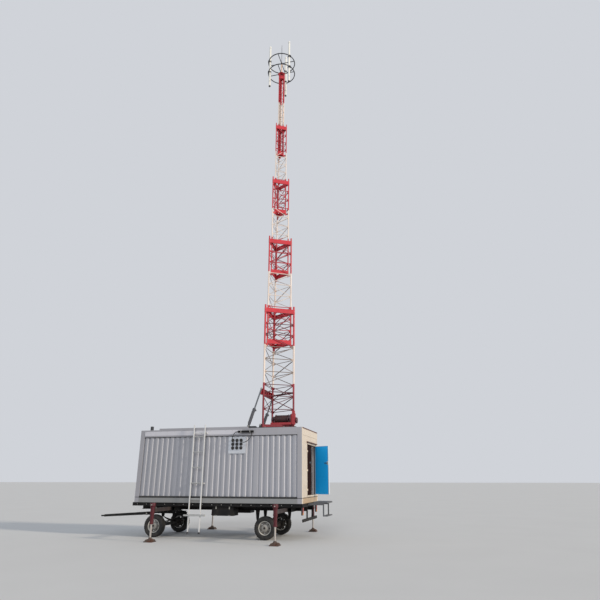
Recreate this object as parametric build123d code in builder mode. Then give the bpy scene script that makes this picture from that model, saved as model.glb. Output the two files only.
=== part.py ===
from build123d import *

# A trailer-carried telescopic radio mast: a five-section triangular lattice mast that stands on
# the roof of a box shelter, on a four-wheel trailer with four screw-jack outriggers.
# Millimetres. +X is the door end, -X the drawbar, -Y the ladder side, +Z up, ground at z = 0.
# The origin is on the ground, in the middle of the whole outline.
import math
import os

# The shelter box, measured from its drawbar end (x), its middle (y) and its underside (z)
BOX_L = 6058
BOX_W = 2438
BOX_H = 2438
BOX_Z = 1120
POST_X = 160
POST_Y = 150
RAIL_T = 60
BOTTOM_RAIL_H = 190
TOP_RAIL_H = 248
FLOOR_T = 90
ROOF_T = 50
ROOF_DROP = 0
END_WALL_T = 160
WALL_T = 100
WALL_RECESS = 10
RIB_DEPTH = 36
RIB_PITCH = 200
RIB_CREST = 74
RIB_SLOPE = 32
BAND_X0 = 4358
BAND_X1 = 4528

# How far the trailer reaches past the box at each end
EYE_REACH = 2050
STEP_REACH = 660

# The doorway in the +X end and its two leaves
DOOR_Y0 = -429
DOOR_Y1 = 881
DOOR_Z0 = 240
DOOR_Z1 = 1920
LEAF_T = 50
LEAF_GAP = 10
LEAF_OPEN = 63
HINGE_R = 12
HINGE_OUT = 16
HINGE_H = 60
HANDLE_R = 11
HOOD_OUT = 70
HOOD_OVER = 70
HOOD_Z0 = 1950
HOOD_Z1 = 2012

# Running gap of a pin, rod or guide that carries a moving piece
SEAT = 0.3

# The mast: five sections, widest first
MAST_X = 4780
SECTION_SIDE = (1140, 915, 690, 465, 240)
SECTION_LEG = (35, 30, 25, 21, 17)
SECTION_BOTTOM = (2500, 5550, 8480, 11300, 14250)
SECTION_TOP = (7180, 10190, 13080, 15960, 18900)
SECTION_BAR = (34, 30, 26, 22, 16)
SECTION_PANELS = (0, 9, 10, 11, 13)
LEG_ABOVE_RING = 130
RING_H = 170
RING_T = 50
FOOT_BELOW_RING = 90
BELT_Z = 3800
BELT_H = 60
ROOF_FRAME_H = 57
TILT_X = 4370
TILT_Z = 2600
TILT_PIN_R = 20
TILT_CHEEK_R = 38
LUG_T = 30
LUG_GAP = 2

# The two tilt cylinders, one each side of the mast
CYL_Y = 770
CYL_BASE_X = 3980
CYL_BASE_Z = 2556
CYL_FOOT_X = 4290
CYL_FOOT_Z = 2545
CYL_CHEEK_T = 16
CYL_CHEEK_R = 40
EYE_X = 4430
EYE_Z = 3870
BARREL_L = 650
BARREL_R = 50
BARREL_WALL = 7
ROD_R = 22
CYL_PIN_R = 15
CYL_EYE_R = 36
CYL_EYE_T = 36
CYL_NECK = 50

# The winch inside the foot of the mast
DRUM_R = 150
DRUM_X0 = 4790
DRUM_X1 = 5290
DRUM_Y = -60
DRUM_Z = 2825
WINCH_FOOT_Z = 2620

# The antenna head on the top section
HEAD_RING_R = 626
HEAD_TUBE = 28
HEAD_Z0 = 18932
HEAD_Z1 = 19560
POLE_R = 30
HEAD_PLATE_R = 160
ROD_TIP_Z = 20740
LIGHTNING_R = 10
COLLAR_H = 60
AERIAL_R = 46
AERIAL_RADIUS = 556
AERIAL_Z0 = 18080
AERIAL_Z1 = 20490
AERIAL_TURN = -35

# The trailer
CHASSIS_H = 250
RAIL_Y = 430
RAIL_W = 110
WEB_T = 14
FLANGE_T = 16
BEARER_H = 110
CHASSIS_X0 = -90
WHEEL_R = 363
TYRE_W = 235
RIM_R = 218
TRACK = 1900
FRONT_AXLE_X = 727
REAR_AXLE_X = 4750
AXLE_SQ = 100
SPRING_W = 76
SPRING_T = 70
SPRING_HALF = 450
SPRING_CAMBER = 110
STUB_R = 38
TURNTABLE_R = 440
DRAWBAR_HINGE_X = 110
DRAWBAR_HINGE_Z = -400
DRAWBAR_SQ = 80
EYE_Z_DROP = -530
TOW_EYE_R = 60
TOW_EYE_BORE = 27

# Outriggers: a casing across the chassis at two stations, an arm each side, a jack on each arm
OUTRIGGER_X = (1350, 5490)
ARM_PITCH = 130
ARM_W = 110
ARM_H = 110
CASING_WALL = 8
ARM_GAP = 0.4
JACK_Y = 2320
ARM_INNER_Y = 860
JACK_R = 65
JACK_BORE = 50
JACK_TOP_Z = 40
JACK_BOTTOM_Z = -600
JACK_ROD_R = 34
FOOT_SIDE = 290
FOOT_H = 60

# Ladder on the -Y wall, cable port plate, cables and their tray
MAST_REST_X = 60
LADDER_X0 = 2140
LADDER_X1 = 2585
LADDER_Y = -1339
LADDER_BOTTOM = -950
LADDER_TOP = 2580
LADDER_RUNG_PITCH = 510
LADDER_RUNGS = 6
LADDER_STEP_Z = -385
LADDER_STEP_W = 760
LADDER_TIE_Z = (625, 2300)
PORT_X0 = 3430
PORT_X1 = 4060
PORT_Z0 = 1590
PORT_Z1 = 2150
PORT_T = 12
PORT_PITCH = 150
PORT_CENTRE_X = 3740
PORT_CENTRE_Z = 1905
PORT_R = 52
PORT_DEPTH = 40
COAMING_X0 = 720
COAMING_X1 = 4120
COAMING_H = 55
TRAY_X0 = 3790
TRAY_X1 = 4340
TRAY_Z0 = 2285
TRAY_Z1 = 2350
TRAY_DEPTH = 100
CABLE_R = 12

X0 = (EYE_REACH - BOX_L - STEP_REACH) / 2
NEAR_Y = -BOX_W / 2
DOOR_FACE_X = X0 + BOX_L - WALL_RECESS


def bx(x):
    """Place along the row's X of a distance from the drawbar end of the box."""
    return X0 + x


def bz(z):
    """Height above the ground of a height above the underside of the box."""
    return BOX_Z + z


def corner(solid_x, solid_y, solid_z, size_x, size_y, size_z, mode=Mode.ADD):
    """A box given by its low corner and its size, inside a part block."""
    with Locations((solid_x, solid_y, solid_z)):
        Box(size_x, size_y, size_z, align=(Align.MIN, Align.MIN, Align.MIN), mode=mode)


def y_cylinder(x, z, y0, y1, radius, mode=Mode.ADD):
    """A cylinder along Y from y0 to y1, inside a part block."""
    with Locations(Location((x, (y0 + y1) / 2, z), (90, 0, 0))):
        Cylinder(radius, abs(y1 - y0), mode=mode)


def x_cylinder(x0, x1, y, z, radius, mode=Mode.ADD):
    """A cylinder along X from x0 to x1, inside a part block."""
    with Locations(Location(((x0 + x1) / 2, y, z), (0, 90, 0))):
        Cylinder(radius, abs(x1 - x0), mode=mode)


def save(part, label):
    part.label = label
    export_step(part, "parts/" + label + ".step")


os.makedirs("parts", exist_ok=True)


# Box frame: four corner posts, four bottom rails and four top rails
def corner_posts():
    with BuildPart() as posts:
        for x in (bx(0), bx(BOX_L - POST_X)):
            for y in (NEAR_Y, -NEAR_Y - POST_Y):
                corner(x, y, bz(0), POST_X, POST_Y, BOX_H)
    return posts.part


def box_rails(z, height):
    long_l = BOX_L - 2 * POST_X
    end_l = BOX_W - 2 * POST_Y
    with BuildPart() as rails:
        for y in (NEAR_Y, -NEAR_Y - RAIL_T):
            corner(bx(POST_X), y, z, long_l, RAIL_T, height)
        for x in (bx(0), bx(BOX_L - RAIL_T)):
            corner(x, -end_l / 2, z, RAIL_T, end_l, height)
    return rails.part


def deck(z, thickness):
    """Floor or roof sheet between the rails, notched round the corner posts."""
    middle = bx(BOX_L / 2)
    with BuildPart() as sheet:
        with BuildSketch(Plane.XY.offset(z)):
            with Locations((middle, 0)):
                Rectangle(BOX_L - 2 * RAIL_T, BOX_W - 2 * POST_Y)
                Rectangle(BOX_L - 2 * POST_X, BOX_W - 2 * RAIL_T)
        extrude(amount=thickness)
    return sheet.part


def rib_points(start, length):
    """Corners of a trapezoid rib pattern that fills a length: (along, depth) pairs."""
    count = round(length / RIB_PITCH)
    pitch = length / count
    trough = pitch - RIB_CREST - 2 * RIB_SLOPE
    points = []
    for index in range(count):
        rib = start + index * pitch + trough / 2
        points += [(rib, RIB_DEPTH), (rib + RIB_SLOPE, 0)]
        points += [(rib + RIB_SLOPE + RIB_CREST, 0), (rib + 2 * RIB_SLOPE + RIB_CREST, RIB_DEPTH)]
    return points


WALL_H = BOX_H - BOTTOM_RAIL_H - TOP_RAIL_H
WALL_Z = bz(BOTTOM_RAIL_H)


def side_wall(side):
    """A ribbed long wall with its flat lining; side is -1 near, +1 far."""
    outer = BOX_W / 2 - WALL_RECESS
    points = [(POST_X, RIB_DEPTH)]
    points += rib_points(POST_X, BAND_X0 - POST_X)
    points += [(BAND_X0, RIB_DEPTH), (BAND_X0, 0), (BAND_X1, 0), (BAND_X1, RIB_DEPTH)]
    points += rib_points(BAND_X1, BOX_L - POST_X - BAND_X1)
    points += [(BOX_L - POST_X, RIB_DEPTH), (BOX_L - POST_X, WALL_T), (POST_X, WALL_T)]
    with BuildPart() as wall:
        with BuildSketch(Plane.XY.offset(WALL_Z)):
            with BuildLine():
                Polyline([(bx(x), side * (outer - depth)) for x, depth in points], close=True)
            make_face()
        extrude(amount=WALL_H)
    return wall.part


def drawbar_end_wall():
    outer = bx(WALL_RECESS)
    half = BOX_W / 2 - POST_Y
    points = [(-half, RIB_DEPTH)] + rib_points(-half, 2 * half)
    points += [(half, RIB_DEPTH), (half, WALL_T), (-half, WALL_T)]
    with BuildPart() as wall:
        with BuildSketch(Plane.XY.offset(WALL_Z)):
            with BuildLine():
                Polyline([(outer + depth, y) for y, depth in points], close=True)
            make_face()
        extrude(amount=WALL_H)
    return wall.part


# Door end: panels beside the doorway with their hinge knuckles, then the head and sill
LEAF_W = (DOOR_Y1 - DOOR_Y0 - 3 * LEAF_GAP) / 2
LEAF_H = DOOR_Z1 - DOOR_Z0 - 2 * LEAF_GAP
HINGE_X = DOOR_FACE_X + HINGE_OUT
HINGE_HEIGHTS = [bz(DOOR_Z0 + LEAF_GAP) + LEAF_H * share for share in (0.12, 0.5, 0.88)]


def door_end_wall():
    half = BOX_W / 2 - POST_Y
    x = DOOR_FACE_X - END_WALL_T
    with BuildPart() as wall:
        corner(x, -half, WALL_Z, END_WALL_T, DOOR_Y0 + half, WALL_H)
        corner(x, DOOR_Y1, WALL_Z, END_WALL_T, half - DOOR_Y1, WALL_H)
        for z in HINGE_HEIGHTS:
            for y, outward in ((DOOR_Y0, -1), (DOOR_Y1, 1)):
                with Locations((HINGE_X, y, z - HINGE_H / 2)):
                    Cylinder(HINGE_R, HINGE_H)
                low = y - HINGE_H if outward < 0 else y
                corner(DOOR_FACE_X, low, z - HINGE_H, HINGE_OUT, HINGE_H, HINGE_H)
    return wall.part


def door_head_and_sill():
    x = DOOR_FACE_X - END_WALL_T
    width = DOOR_Y1 - DOOR_Y0
    with BuildPart() as head:
        corner(x, DOOR_Y0, bz(DOOR_Z1), END_WALL_T, width, WALL_Z + WALL_H - bz(DOOR_Z1))
        corner(x, DOOR_Y0, WALL_Z, END_WALL_T, width, bz(DOOR_Z0) - WALL_Z)
    return head.part


def door_leaf(hinge_y, along, outward):
    """A leaf drawn on its hinge axis: x runs across the leaf, y through it."""
    plane = Plane((HINGE_X, hinge_y, bz(DOOR_Z0 + LEAF_GAP)), x_dir=along, z_dir=(0, 0, 1))
    face = -outward * HINGE_OUT
    with BuildPart() as leaf:
        with BuildSketch(plane):
            with Locations((LEAF_GAP + LEAF_W / 2, face - outward * LEAF_T / 2)):
                Rectangle(LEAF_W, LEAF_T)
        extrude(amount=LEAF_H)
        for z in HINGE_HEIGHTS:
            height = z - bz(DOOR_Z0 + LEAF_GAP) + SEAT
            with BuildSketch(plane.offset(height)):
                Circle(HINGE_R)
                with Locations((HINGE_H / 2, face + outward * HINGE_OUT / 2)):
                    Rectangle(HINGE_H, HINGE_OUT)
            extrude(amount=HINGE_H)
        bar_x = LEAF_W - 70
        with BuildSketch(plane.offset(LEAF_H * 0.08)):
            with Locations((bar_x, face + outward * 40)):
                Circle(HANDLE_R)
        extrude(amount=LEAF_H * 0.84)
        for share in (0.1, 0.42, 0.58, 0.88):
            with BuildSketch(plane.offset(LEAF_H * share)):
                with Locations((bar_x, face + outward * 26)):
                    Rectangle(46, 52)
            extrude(amount=40)
    return leaf.part


def door_hood():
    """Low rain strip over the doorway, with a sloped top."""
    with BuildPart() as hood:
        with BuildSketch(Plane.XZ.offset(-(DOOR_Y1 + HOOD_OVER))):
            with BuildLine():
                Polyline(
                    (DOOR_FACE_X, bz(HOOD_Z1)), (DOOR_FACE_X + HOOD_OUT, bz(HOOD_Z1 - 12)),
                    (DOOR_FACE_X + HOOD_OUT, bz(HOOD_Z0)), (DOOR_FACE_X, bz(HOOD_Z0)), close=True,
                )
            make_face()
        extrude(amount=DOOR_Y1 - DOOR_Y0 + 2 * HOOD_OVER)
    return hood.part


STEP_X0 = 170
STEP_Y0 = -330
STEP_W = 900


def entry_step():
    """Grated landing below the doorway, on two arms bolted under the box."""
    top = bz(40)
    depth = STEP_REACH - STEP_X0
    with BuildPart() as step:
        corner(bx(BOX_L + STEP_X0), STEP_Y0, top - 50, depth, STEP_W, 50)
        inner_x = bx(BOX_L + STEP_X0) + 40
        bay = (depth - 40 * 6) / 5
        for index in range(5):
            x = inner_x + index * (bay + 40)
            corner(x, STEP_Y0 + 40, top - 50, bay, STEP_W - 80, 50, mode=Mode.SUBTRACT)
        for y in (STEP_Y0, STEP_Y0 + STEP_W - 40):
            corner(bx(BOX_L), y, top - 110, STEP_REACH - 120, 40, 60)
            corner(bx(BOX_L + STEP_REACH - 160), y, bz(-420), 40, 40, 400 + 40 - 50)
        corner(bx(BOX_L + STEP_REACH - 160), STEP_Y0 + 40, bz(-420), 160, STEP_W - 80, 30)
    return step.part


# Mast roof frame, on the box roof, with the tilt pins and the cylinder brackets
FRAME_Z = bz(BOX_H)
LEG_Y = SECTION_SIDE[0] / 2
FRAME_X0 = 3850
FRAME_X1 = 5740
FRAME_BEAM = 110


def mast_roof_frame():
    frame_end = FRAME_X1 - TILT_X
    with BuildPart() as frame:
        for y in (-CYL_Y, CYL_Y):
            corner(bx(FRAME_X0), y - 55, FRAME_Z, FRAME_X1 - FRAME_X0, FRAME_BEAM, ROOF_FRAME_H)
        for x in (TILT_X - 60, FRAME_X1 - FRAME_BEAM, MAST_X + 60):
            corner(bx(x), -CYL_Y, FRAME_Z, FRAME_BEAM, 2 * CYL_Y, ROOF_FRAME_H)
        for y in (-LEG_Y, LEG_Y):
            for offset in (-LUG_T / 2 - LUG_GAP - LUG_T, LUG_T / 2 + LUG_GAP):
                with BuildSketch(Plane.XZ.offset(-(y + offset + LUG_T))):
                    with Locations((bx(TILT_X), bz(TILT_Z))):
                        Circle(TILT_CHEEK_R)
                    with Locations((bx(TILT_X), (bz(TILT_Z) + FRAME_Z) / 2)):
                        Rectangle(2 * TILT_CHEEK_R, bz(TILT_Z) - FRAME_Z)
                extrude(amount=LUG_T)
            pin_half = 1.5 * LUG_T + LUG_GAP + 12
            y_cylinder(bx(TILT_X), bz(TILT_Z), y - pin_half, y + pin_half, TILT_PIN_R)
        for y in (-CYL_Y, CYL_Y):
            for offset in (-CYL_EYE_T / 2 - 2 - CYL_CHEEK_T, CYL_EYE_T / 2 + 2):
                with BuildSketch(Plane.XZ.offset(-(y + offset + CYL_CHEEK_T))):
                    with Locations((bx(CYL_BASE_X), bz(CYL_BASE_Z))):
                        Circle(CYL_CHEEK_R)
                    with Locations((bx(CYL_BASE_X), (bz(CYL_BASE_Z) + FRAME_Z) / 2)):
                        Rectangle(2 * CYL_CHEEK_R, bz(CYL_BASE_Z) - FRAME_Z)
                    with Locations((bx((CYL_BASE_X + CYL_FOOT_X) / 2), FRAME_Z)):
                        Rectangle(
                            CYL_FOOT_X - CYL_BASE_X, bz(CYL_FOOT_Z) - FRAME_Z,
                            align=(Align.CENTER, Align.MIN),
                        )
                extrude(amount=CYL_CHEEK_T)
            y_cylinder(bx(CYL_BASE_X), bz(CYL_BASE_Z), y - 36, y + 36, CYL_PIN_R)
    return frame.part


# Mast sections
LEG_AZIMUTHS = (0, 120, 240)


def leg_centre(index, azimuth):
    radius = SECTION_SIDE[index] / math.sqrt(3)
    turn = math.radians(azimuth)
    return (bx(MAST_X) + radius * math.cos(turn), radius * math.sin(turn))


def side_plane(index, azimuth):
    """Plane of one flat side: x along the side, y up, origin at mid side on the ground."""
    turn = math.radians(azimuth)
    reach = SECTION_SIDE[index] / (2 * math.sqrt(3)) + SECTION_LEG[index] * 0.3
    origin = (bx(MAST_X) + reach * math.cos(turn), reach * math.sin(turn), 0)
    across = (-math.sin(turn), math.cos(turn), 0)
    return Plane(origin, x_dir=across, z_dir=(math.cos(turn), math.sin(turn), 0))


def bar(start, end, width):
    """A straight bar of a side's lattice, drawn in the side's plane."""
    length = math.dist(start, end)
    turn = math.degrees(math.atan2(end[1] - start[1], end[0] - start[0]))
    with Locations(((start[0] + end[0]) / 2, (start[1] + end[1]) / 2)):
        Rectangle(length, width, rotation=turn)


def section_levels(index):
    """Heights of the horizontals between a section's two rings."""
    if index == 0:
        return [2560, 3170, 3650, 4070, 4550, 5040, 5510, 5990, 6420, 6965]
    low = SECTION_BOTTOM[index] + FOOT_BELOW_RING + RING_H / 2
    high = SECTION_TOP[index] - LEG_ABOVE_RING - RING_H / 2
    count = SECTION_PANELS[index]
    return [low + (high - low) * step / count for step in range(count + 1)]


def mast_section(index):
    side = SECTION_SIDE[index]
    bar_w = SECTION_BAR[index]
    leg_r = SECTION_LEG[index]
    half = side / 2
    levels = section_levels(index)
    ring_t = RING_T * (leg_r + 10) / (SECTION_LEG[0] + 10)
    foot = foot_of_mast() if index == 0 else None
    with BuildPart() as section:
        for azimuth in LEG_AZIMUTHS:
            with BuildSketch(Plane.XY.offset(bz(SECTION_BOTTOM[index]))):
                with Locations(leg_centre(index, azimuth)):
                    RegularPolygon(leg_r, 12, major_radius=False, rotation=15)
            extrude(amount=SECTION_TOP[index] - SECTION_BOTTOM[index])
        for azimuth in (60, 180, 300):
            plane = side_plane(index, azimuth)
            with BuildSketch(plane):
                for step, level in enumerate(levels[1:-1], start=1):
                    bar((-half, bz(level)), (half, bz(level)), bar_w)
                for step in range(len(levels) - 1):
                    low, high = bz(levels[step]), bz(levels[step + 1])
                    if index == 0 and step == 0:
                        continue
                    if index == 0 and step == 1:
                        bar((-half, low), (half, high), bar_w)
                        bar((-half, high), (half, low), bar_w)
                    elif step % 2:
                        bar((-half, low), (half, high), bar_w)
                    else:
                        bar((-half, high), (half, low), bar_w)
                if index == 0 and azimuth != 180:
                    bar((-half, bz(BELT_Z)), (half, bz(BELT_Z)), BELT_H)
            extrude(amount=bar_w * 0.35, both=True)
            with BuildSketch(plane):
                for level in (levels[0], levels[-1]):
                    height = 120 if index == 0 and level == levels[0] else RING_H
                    with Locations((0, bz(level))):
                        Rectangle(side, height)
            extrude(amount=ring_t / 2, both=True)
        if index < len(SECTION_SIDE) - 1:
            gap_in = leg_centre(index, 0)[0] - leg_centre(index + 1, 0)[0] - SECTION_LEG[index + 1] - SEAT
            for azimuth in LEG_AZIMUTHS:
                x, y = leg_centre(index, azimuth)
                with BuildSketch(Plane.XY.offset(bz(levels[-1]) - 60)):
                    with Locations(Location((x, y, 0), (0, 0, azimuth))):
                        with Locations((-gap_in / 2, 0)):
                            Rectangle(gap_in, 40)
                extrude(amount=120)
        if index > 0:
            reach_out = (
                leg_centre(index - 1, 0)[0] - leg_centre(index, 0)[0]
                - SECTION_LEG[index - 1] - 6
            )
            for azimuth in LEG_AZIMUTHS:
                x, y = leg_centre(index, azimuth)
                with BuildSketch(Plane.XY.offset(bz(SECTION_BOTTOM[index]) + 20)):
                    with Locations(Location((x, y, 0), (0, 0, azimuth))):
                        with Locations((reach_out / 2, 0)):
                            Rectangle(reach_out, 20)
                extrude(amount=80)
        if index == 0:
            add(foot)
    return section.part


def foot_of_mast():
    """Tilt lugs, winch bearers and the cross beam that takes the cylinder rods."""
    leg_x = leg_centre(0, 120)[0]
    beam_half = CYL_Y - CYL_EYE_T / 2 - 6
    with BuildPart() as foot:
        for y in (-LEG_Y, LEG_Y):
            with BuildSketch(Plane.XZ.offset(-(y + LUG_T / 2))):
                with Locations((bx(TILT_X), bz(TILT_Z))):
                    Circle(TILT_CHEEK_R)
                with Locations(((bx(TILT_X) + leg_x) / 2, bz(TILT_Z))):
                    Rectangle(leg_x - bx(TILT_X), 2 * TILT_CHEEK_R)
            extrude(amount=LUG_T)
            y_cylinder(bx(TILT_X), bz(TILT_Z), y - 20, y + 20, TILT_PIN_R + SEAT, mode=Mode.SUBTRACT)
        corner(leg_x - 62, -beam_half, bz(3670), 50, 2 * beam_half, 230)
        for x in (DRUM_X0 - 60, DRUM_X1 + 20):
            reach = (leg_centre(0, 0)[0] - bx(x)) / math.sqrt(3)
            corner(bx(x), -reach + 10, bz(WINCH_FOOT_Z - 80), 60, 2 * reach - 20, 80)
    return foot.part


def winch():
    foot = bz(WINCH_FOOT_Z)
    with BuildPart() as drum:
        x_cylinder(bx(DRUM_X0), bx(DRUM_X1), DRUM_Y, bz(DRUM_Z), DRUM_R - 20)
        for x in (DRUM_X0, DRUM_X1 - 14):
            x_cylinder(bx(x), bx(x + 14), DRUM_Y, bz(DRUM_Z), DRUM_R)
        x_cylinder(bx(DRUM_X0 - 60), bx(5560), DRUM_Y, bz(DRUM_Z), 22)
        for x in (DRUM_X0 - 44, DRUM_X1 + 24):
            corner(bx(x), DRUM_Y - 90, foot, 24, 180, bz(DRUM_Z) + 60 - foot)
        corner(bx(5378), DRUM_Y - 100, bz(2630), 150, 120, 510)
        x_cylinder(bx(5545), bx(5600), DRUM_Y, bz(DRUM_Z - 40), 115)
    return drum.part


CYL_DX = EYE_X - CYL_BASE_X
CYL_DZ = EYE_Z - CYL_BASE_Z
CYL_L = math.hypot(CYL_DX, CYL_DZ)
CYL_DIR = (CYL_DX / CYL_L, 0, CYL_DZ / CYL_L)
ROD_INSIDE = 42


def cylinder_plane(y, distance):
    """Plane across the cylinder, at a distance from its base pin."""
    origin = Vector(bx(CYL_BASE_X), y, bz(CYL_BASE_Z)) + Vector(*CYL_DIR) * distance
    return Plane(origin, x_dir=(0, 1, 0), z_dir=CYL_DIR)


def tilt_barrel(y):
    """Cylinder tube with its gland end bored for the rod, and an eye on the base pin."""
    half = CYL_EYE_T / 2
    with BuildPart() as barrel:
        with BuildSketch(cylinder_plane(y, CYL_NECK)):
            Circle(BARREL_R)
        extrude(amount=BARREL_L - CYL_NECK)
        with BuildSketch(cylinder_plane(y, CYL_NECK + 20)):
            Circle(BARREL_R - BARREL_WALL)
        extrude(amount=BARREL_L - CYL_NECK - 50, mode=Mode.SUBTRACT)
        with BuildSketch(cylinder_plane(y, BARREL_L - 60)):
            Circle(ROD_R + SEAT)
        extrude(amount=80, mode=Mode.SUBTRACT)
        with BuildSketch(cylinder_plane(y, 0)):
            Rectangle(CYL_EYE_T, 2 * CYL_EYE_R)
        extrude(amount=CYL_NECK + 5)
        y_cylinder(bx(CYL_BASE_X), bz(CYL_BASE_Z), y - half, y + half, CYL_EYE_R)
        y_cylinder(
            bx(CYL_BASE_X), bz(CYL_BASE_Z), y - half, y + half, CYL_PIN_R + SEAT, mode=Mode.SUBTRACT
        )
    return barrel.part


def tilt_rod(y):
    start = BARREL_L - ROD_INSIDE
    with BuildPart() as rod:
        with BuildSketch(cylinder_plane(y, start)):
            Circle(ROD_R)
        extrude(amount=CYL_L - start)
        with BuildSketch(cylinder_plane(y, start - 30)):
            Circle(BARREL_R - BARREL_WALL - SEAT)
        extrude(amount=30)
        half = CYL_EYE_T / 2
        y_cylinder(bx(EYE_X), bz(EYE_Z), y - half, y + half, CYL_EYE_R)
        y_cylinder(bx(EYE_X), bz(EYE_Z), y - half, y + half, CYL_PIN_R + 3, mode=Mode.SUBTRACT)
    return rod.part


# Antenna head
def aerial_place(place, radius):
    """Centre of one of the three places round the head, at a radius from the mast axis."""
    turn = math.radians(AERIAL_TURN + 120 * place)
    return (bx(MAST_X) + radius * math.cos(turn), radius * math.sin(turn))


def antenna_frame():
    """Two spoked rings on a centre pole, a lightning rod, and collars for the antennas."""
    low = (Align.CENTER, Align.CENTER, Align.MIN)
    top = bz(SECTION_TOP[-1])
    half = HEAD_TUBE / 2
    collar_r = (AERIAL_RADIUS + HEAD_RING_R) / 2
    with BuildPart() as head:
        with Locations((bx(MAST_X), 0, top)):
            Cylinder(HEAD_PLATE_R, 14, align=low)
            Cylinder(POLE_R, bz(HEAD_Z1) + 60 - top, align=low)
            Cylinder(LIGHTNING_R, bz(ROD_TIP_Z) - top, align=low)
        for z in (HEAD_Z0, HEAD_Z1):
            with BuildSketch(Plane.XY.offset(bz(z) - half)):
                with Locations((bx(MAST_X), 0)):
                    Circle(HEAD_RING_R + half)
                    Circle(HEAD_RING_R - half, mode=Mode.SUBTRACT)
                    Rectangle(2 * HEAD_RING_R, HEAD_TUBE)
                    Rectangle(HEAD_TUBE, 2 * HEAD_RING_R)
            extrude(amount=HEAD_TUBE)
            with BuildSketch(Plane.XY.offset(bz(z) - COLLAR_H / 2)):
                for place in range(3):
                    x, y = aerial_place(place, collar_r)
                    with Locations(Location((x, y, 0), (0, 0, AERIAL_TURN + 120 * place))):
                        Rectangle(HEAD_RING_R - AERIAL_RADIUS + 2 * AERIAL_R, 2 * AERIAL_R + 24)
            extrude(amount=COLLAR_H)
        with BuildSketch(Plane.XY.offset(bz(AERIAL_Z0))):
            for place in range(3):
                with Locations(aerial_place(place, AERIAL_RADIUS)):
                    Circle(AERIAL_R + SEAT)
        extrude(amount=AERIAL_Z1 - AERIAL_Z0, mode=Mode.SUBTRACT)
    return head.part


def antennas():
    with BuildPart() as tubes:
        with BuildSketch(Plane.XY.offset(bz(AERIAL_Z0))):
            for place in range(3):
                with Locations(aerial_place(place, AERIAL_RADIUS)):
                    Circle(AERIAL_R)
        extrude(amount=AERIAL_Z1 - AERIAL_Z0)
    return tubes.part


# Trailer
def chassis_frame():
    length = BOX_L - CHASSIS_X0
    side = BOX_W - 2 * RAIL_T
    with BuildPart() as frame:
        for y in (-RAIL_Y, RAIL_Y):
            low = y - RAIL_W / 2
            corner(bx(CHASSIS_X0), low, bz(-CHASSIS_H), length, RAIL_W, CHASSIS_H)
            for pocket in (low - 1, y + WEB_T / 2):
                corner(
                    bx(CHASSIS_X0) - 1, pocket, bz(FLANGE_T - CHASSIS_H), length + 2,
                    (RAIL_W - WEB_T) / 2 + 1, CHASSIS_H - 2 * FLANGE_T, mode=Mode.SUBTRACT,
                )
        for x in (CHASSIS_X0, 700, 2100, 2900, 3700, 4500, BOX_L - 100):
            corner(bx(x), -side / 2, bz(-BEARER_H), 100, side, BEARER_H)
        for y in (-side / 2, side / 2 - 70):
            corner(bx(CHASSIS_X0), y, bz(-BEARER_H), length, 70, BEARER_H)
        for x in OUTRIGGER_X:
            width = ARM_W + ARM_PITCH + 2 * CASING_WALL
            low = bx(x) - ARM_W / 2 - CASING_WALL
            height = ARM_H + 2 * CASING_WALL
            corner(low, -side / 2, bz(-CHASSIS_H), width, side, height)
            for offset in (0, ARM_PITCH):
                corner(
                    bx(x) - ARM_W / 2 - ARM_GAP + offset, -side / 2 - 1,
                    bz(CASING_WALL - CHASSIS_H) - ARM_GAP,
                    ARM_W + 2 * ARM_GAP, side + 2, ARM_H + 2 * ARM_GAP, mode=Mode.SUBTRACT,
                )
        with Locations((bx(FRONT_AXLE_X), 0, bz(-CHASSIS_H - 15))):
            Cylinder(TURNTABLE_R, 30)
            Cylinder(TURNTABLE_R - 90, 32, mode=Mode.SUBTRACT)
        corner(bx(FRONT_AXLE_X) - 60, -RAIL_Y, bz(-CHASSIS_H - 30), 120, 2 * RAIL_Y, 60)
    return frame.part


SPRING_EYE_RISE = SPRING_T + SPRING_CAMBER


def leaf_spring(x, y, axle_top):
    """A cambered leaf spring over the axle, with its two eyes."""
    eye_z = axle_top + SPRING_EYE_RISE
    with BuildPart() as spring:
        with BuildSketch(Plane.XZ.offset(-(y + SPRING_W / 2))):
            with BuildLine():
                lower = ThreePointArc(
                    (x - SPRING_HALF, eye_z - 35), (x, axle_top), (x + SPRING_HALF, eye_z - 35)
                )
                Line(lower @ 1, (x + SPRING_HALF, eye_z))
                ThreePointArc(
                    (x + SPRING_HALF, eye_z), (x, axle_top + SPRING_T), (x - SPRING_HALF, eye_z)
                )
                Line((x - SPRING_HALF, eye_z), lower @ 0)
            make_face()
            for end in (-SPRING_HALF, SPRING_HALF):
                with Locations((x + end, eye_z - 10)):
                    Circle(38)
        extrude(amount=SPRING_W)
    return spring.part


def axle_beam(x):
    """Square axle with round stubs that carry the wheels."""
    z = WHEEL_R
    inner = TRACK - TYRE_W - 80
    corner(x - AXLE_SQ / 2, -inner / 2, z - AXLE_SQ / 2, AXLE_SQ, inner, AXLE_SQ)
    reach = TRACK / 2 + 60
    y_cylinder(x, z, -reach, reach, STUB_R)


def rear_axle():
    x = bx(REAR_AXLE_X)
    axle_top = WHEEL_R + AXLE_SQ / 2
    eye_z = axle_top + SPRING_EYE_RISE
    springs = [leaf_spring(x, y, axle_top) for y in (-RAIL_Y, RAIL_Y)]
    with BuildPart() as axle:
        axle_beam(x)
        add(springs)
        for y in (-RAIL_Y, RAIL_Y):
            corner(x - 70, y - 50, axle_top - 20, 140, 100, SPRING_T + 30)
            for end in (-SPRING_HALF, SPRING_HALF):
                height = bz(-CHASSIS_H) - eye_z + 30
                corner(x + end - 35, y - 50, eye_z - 30, 70, 100, height)
    return axle.part


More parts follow.
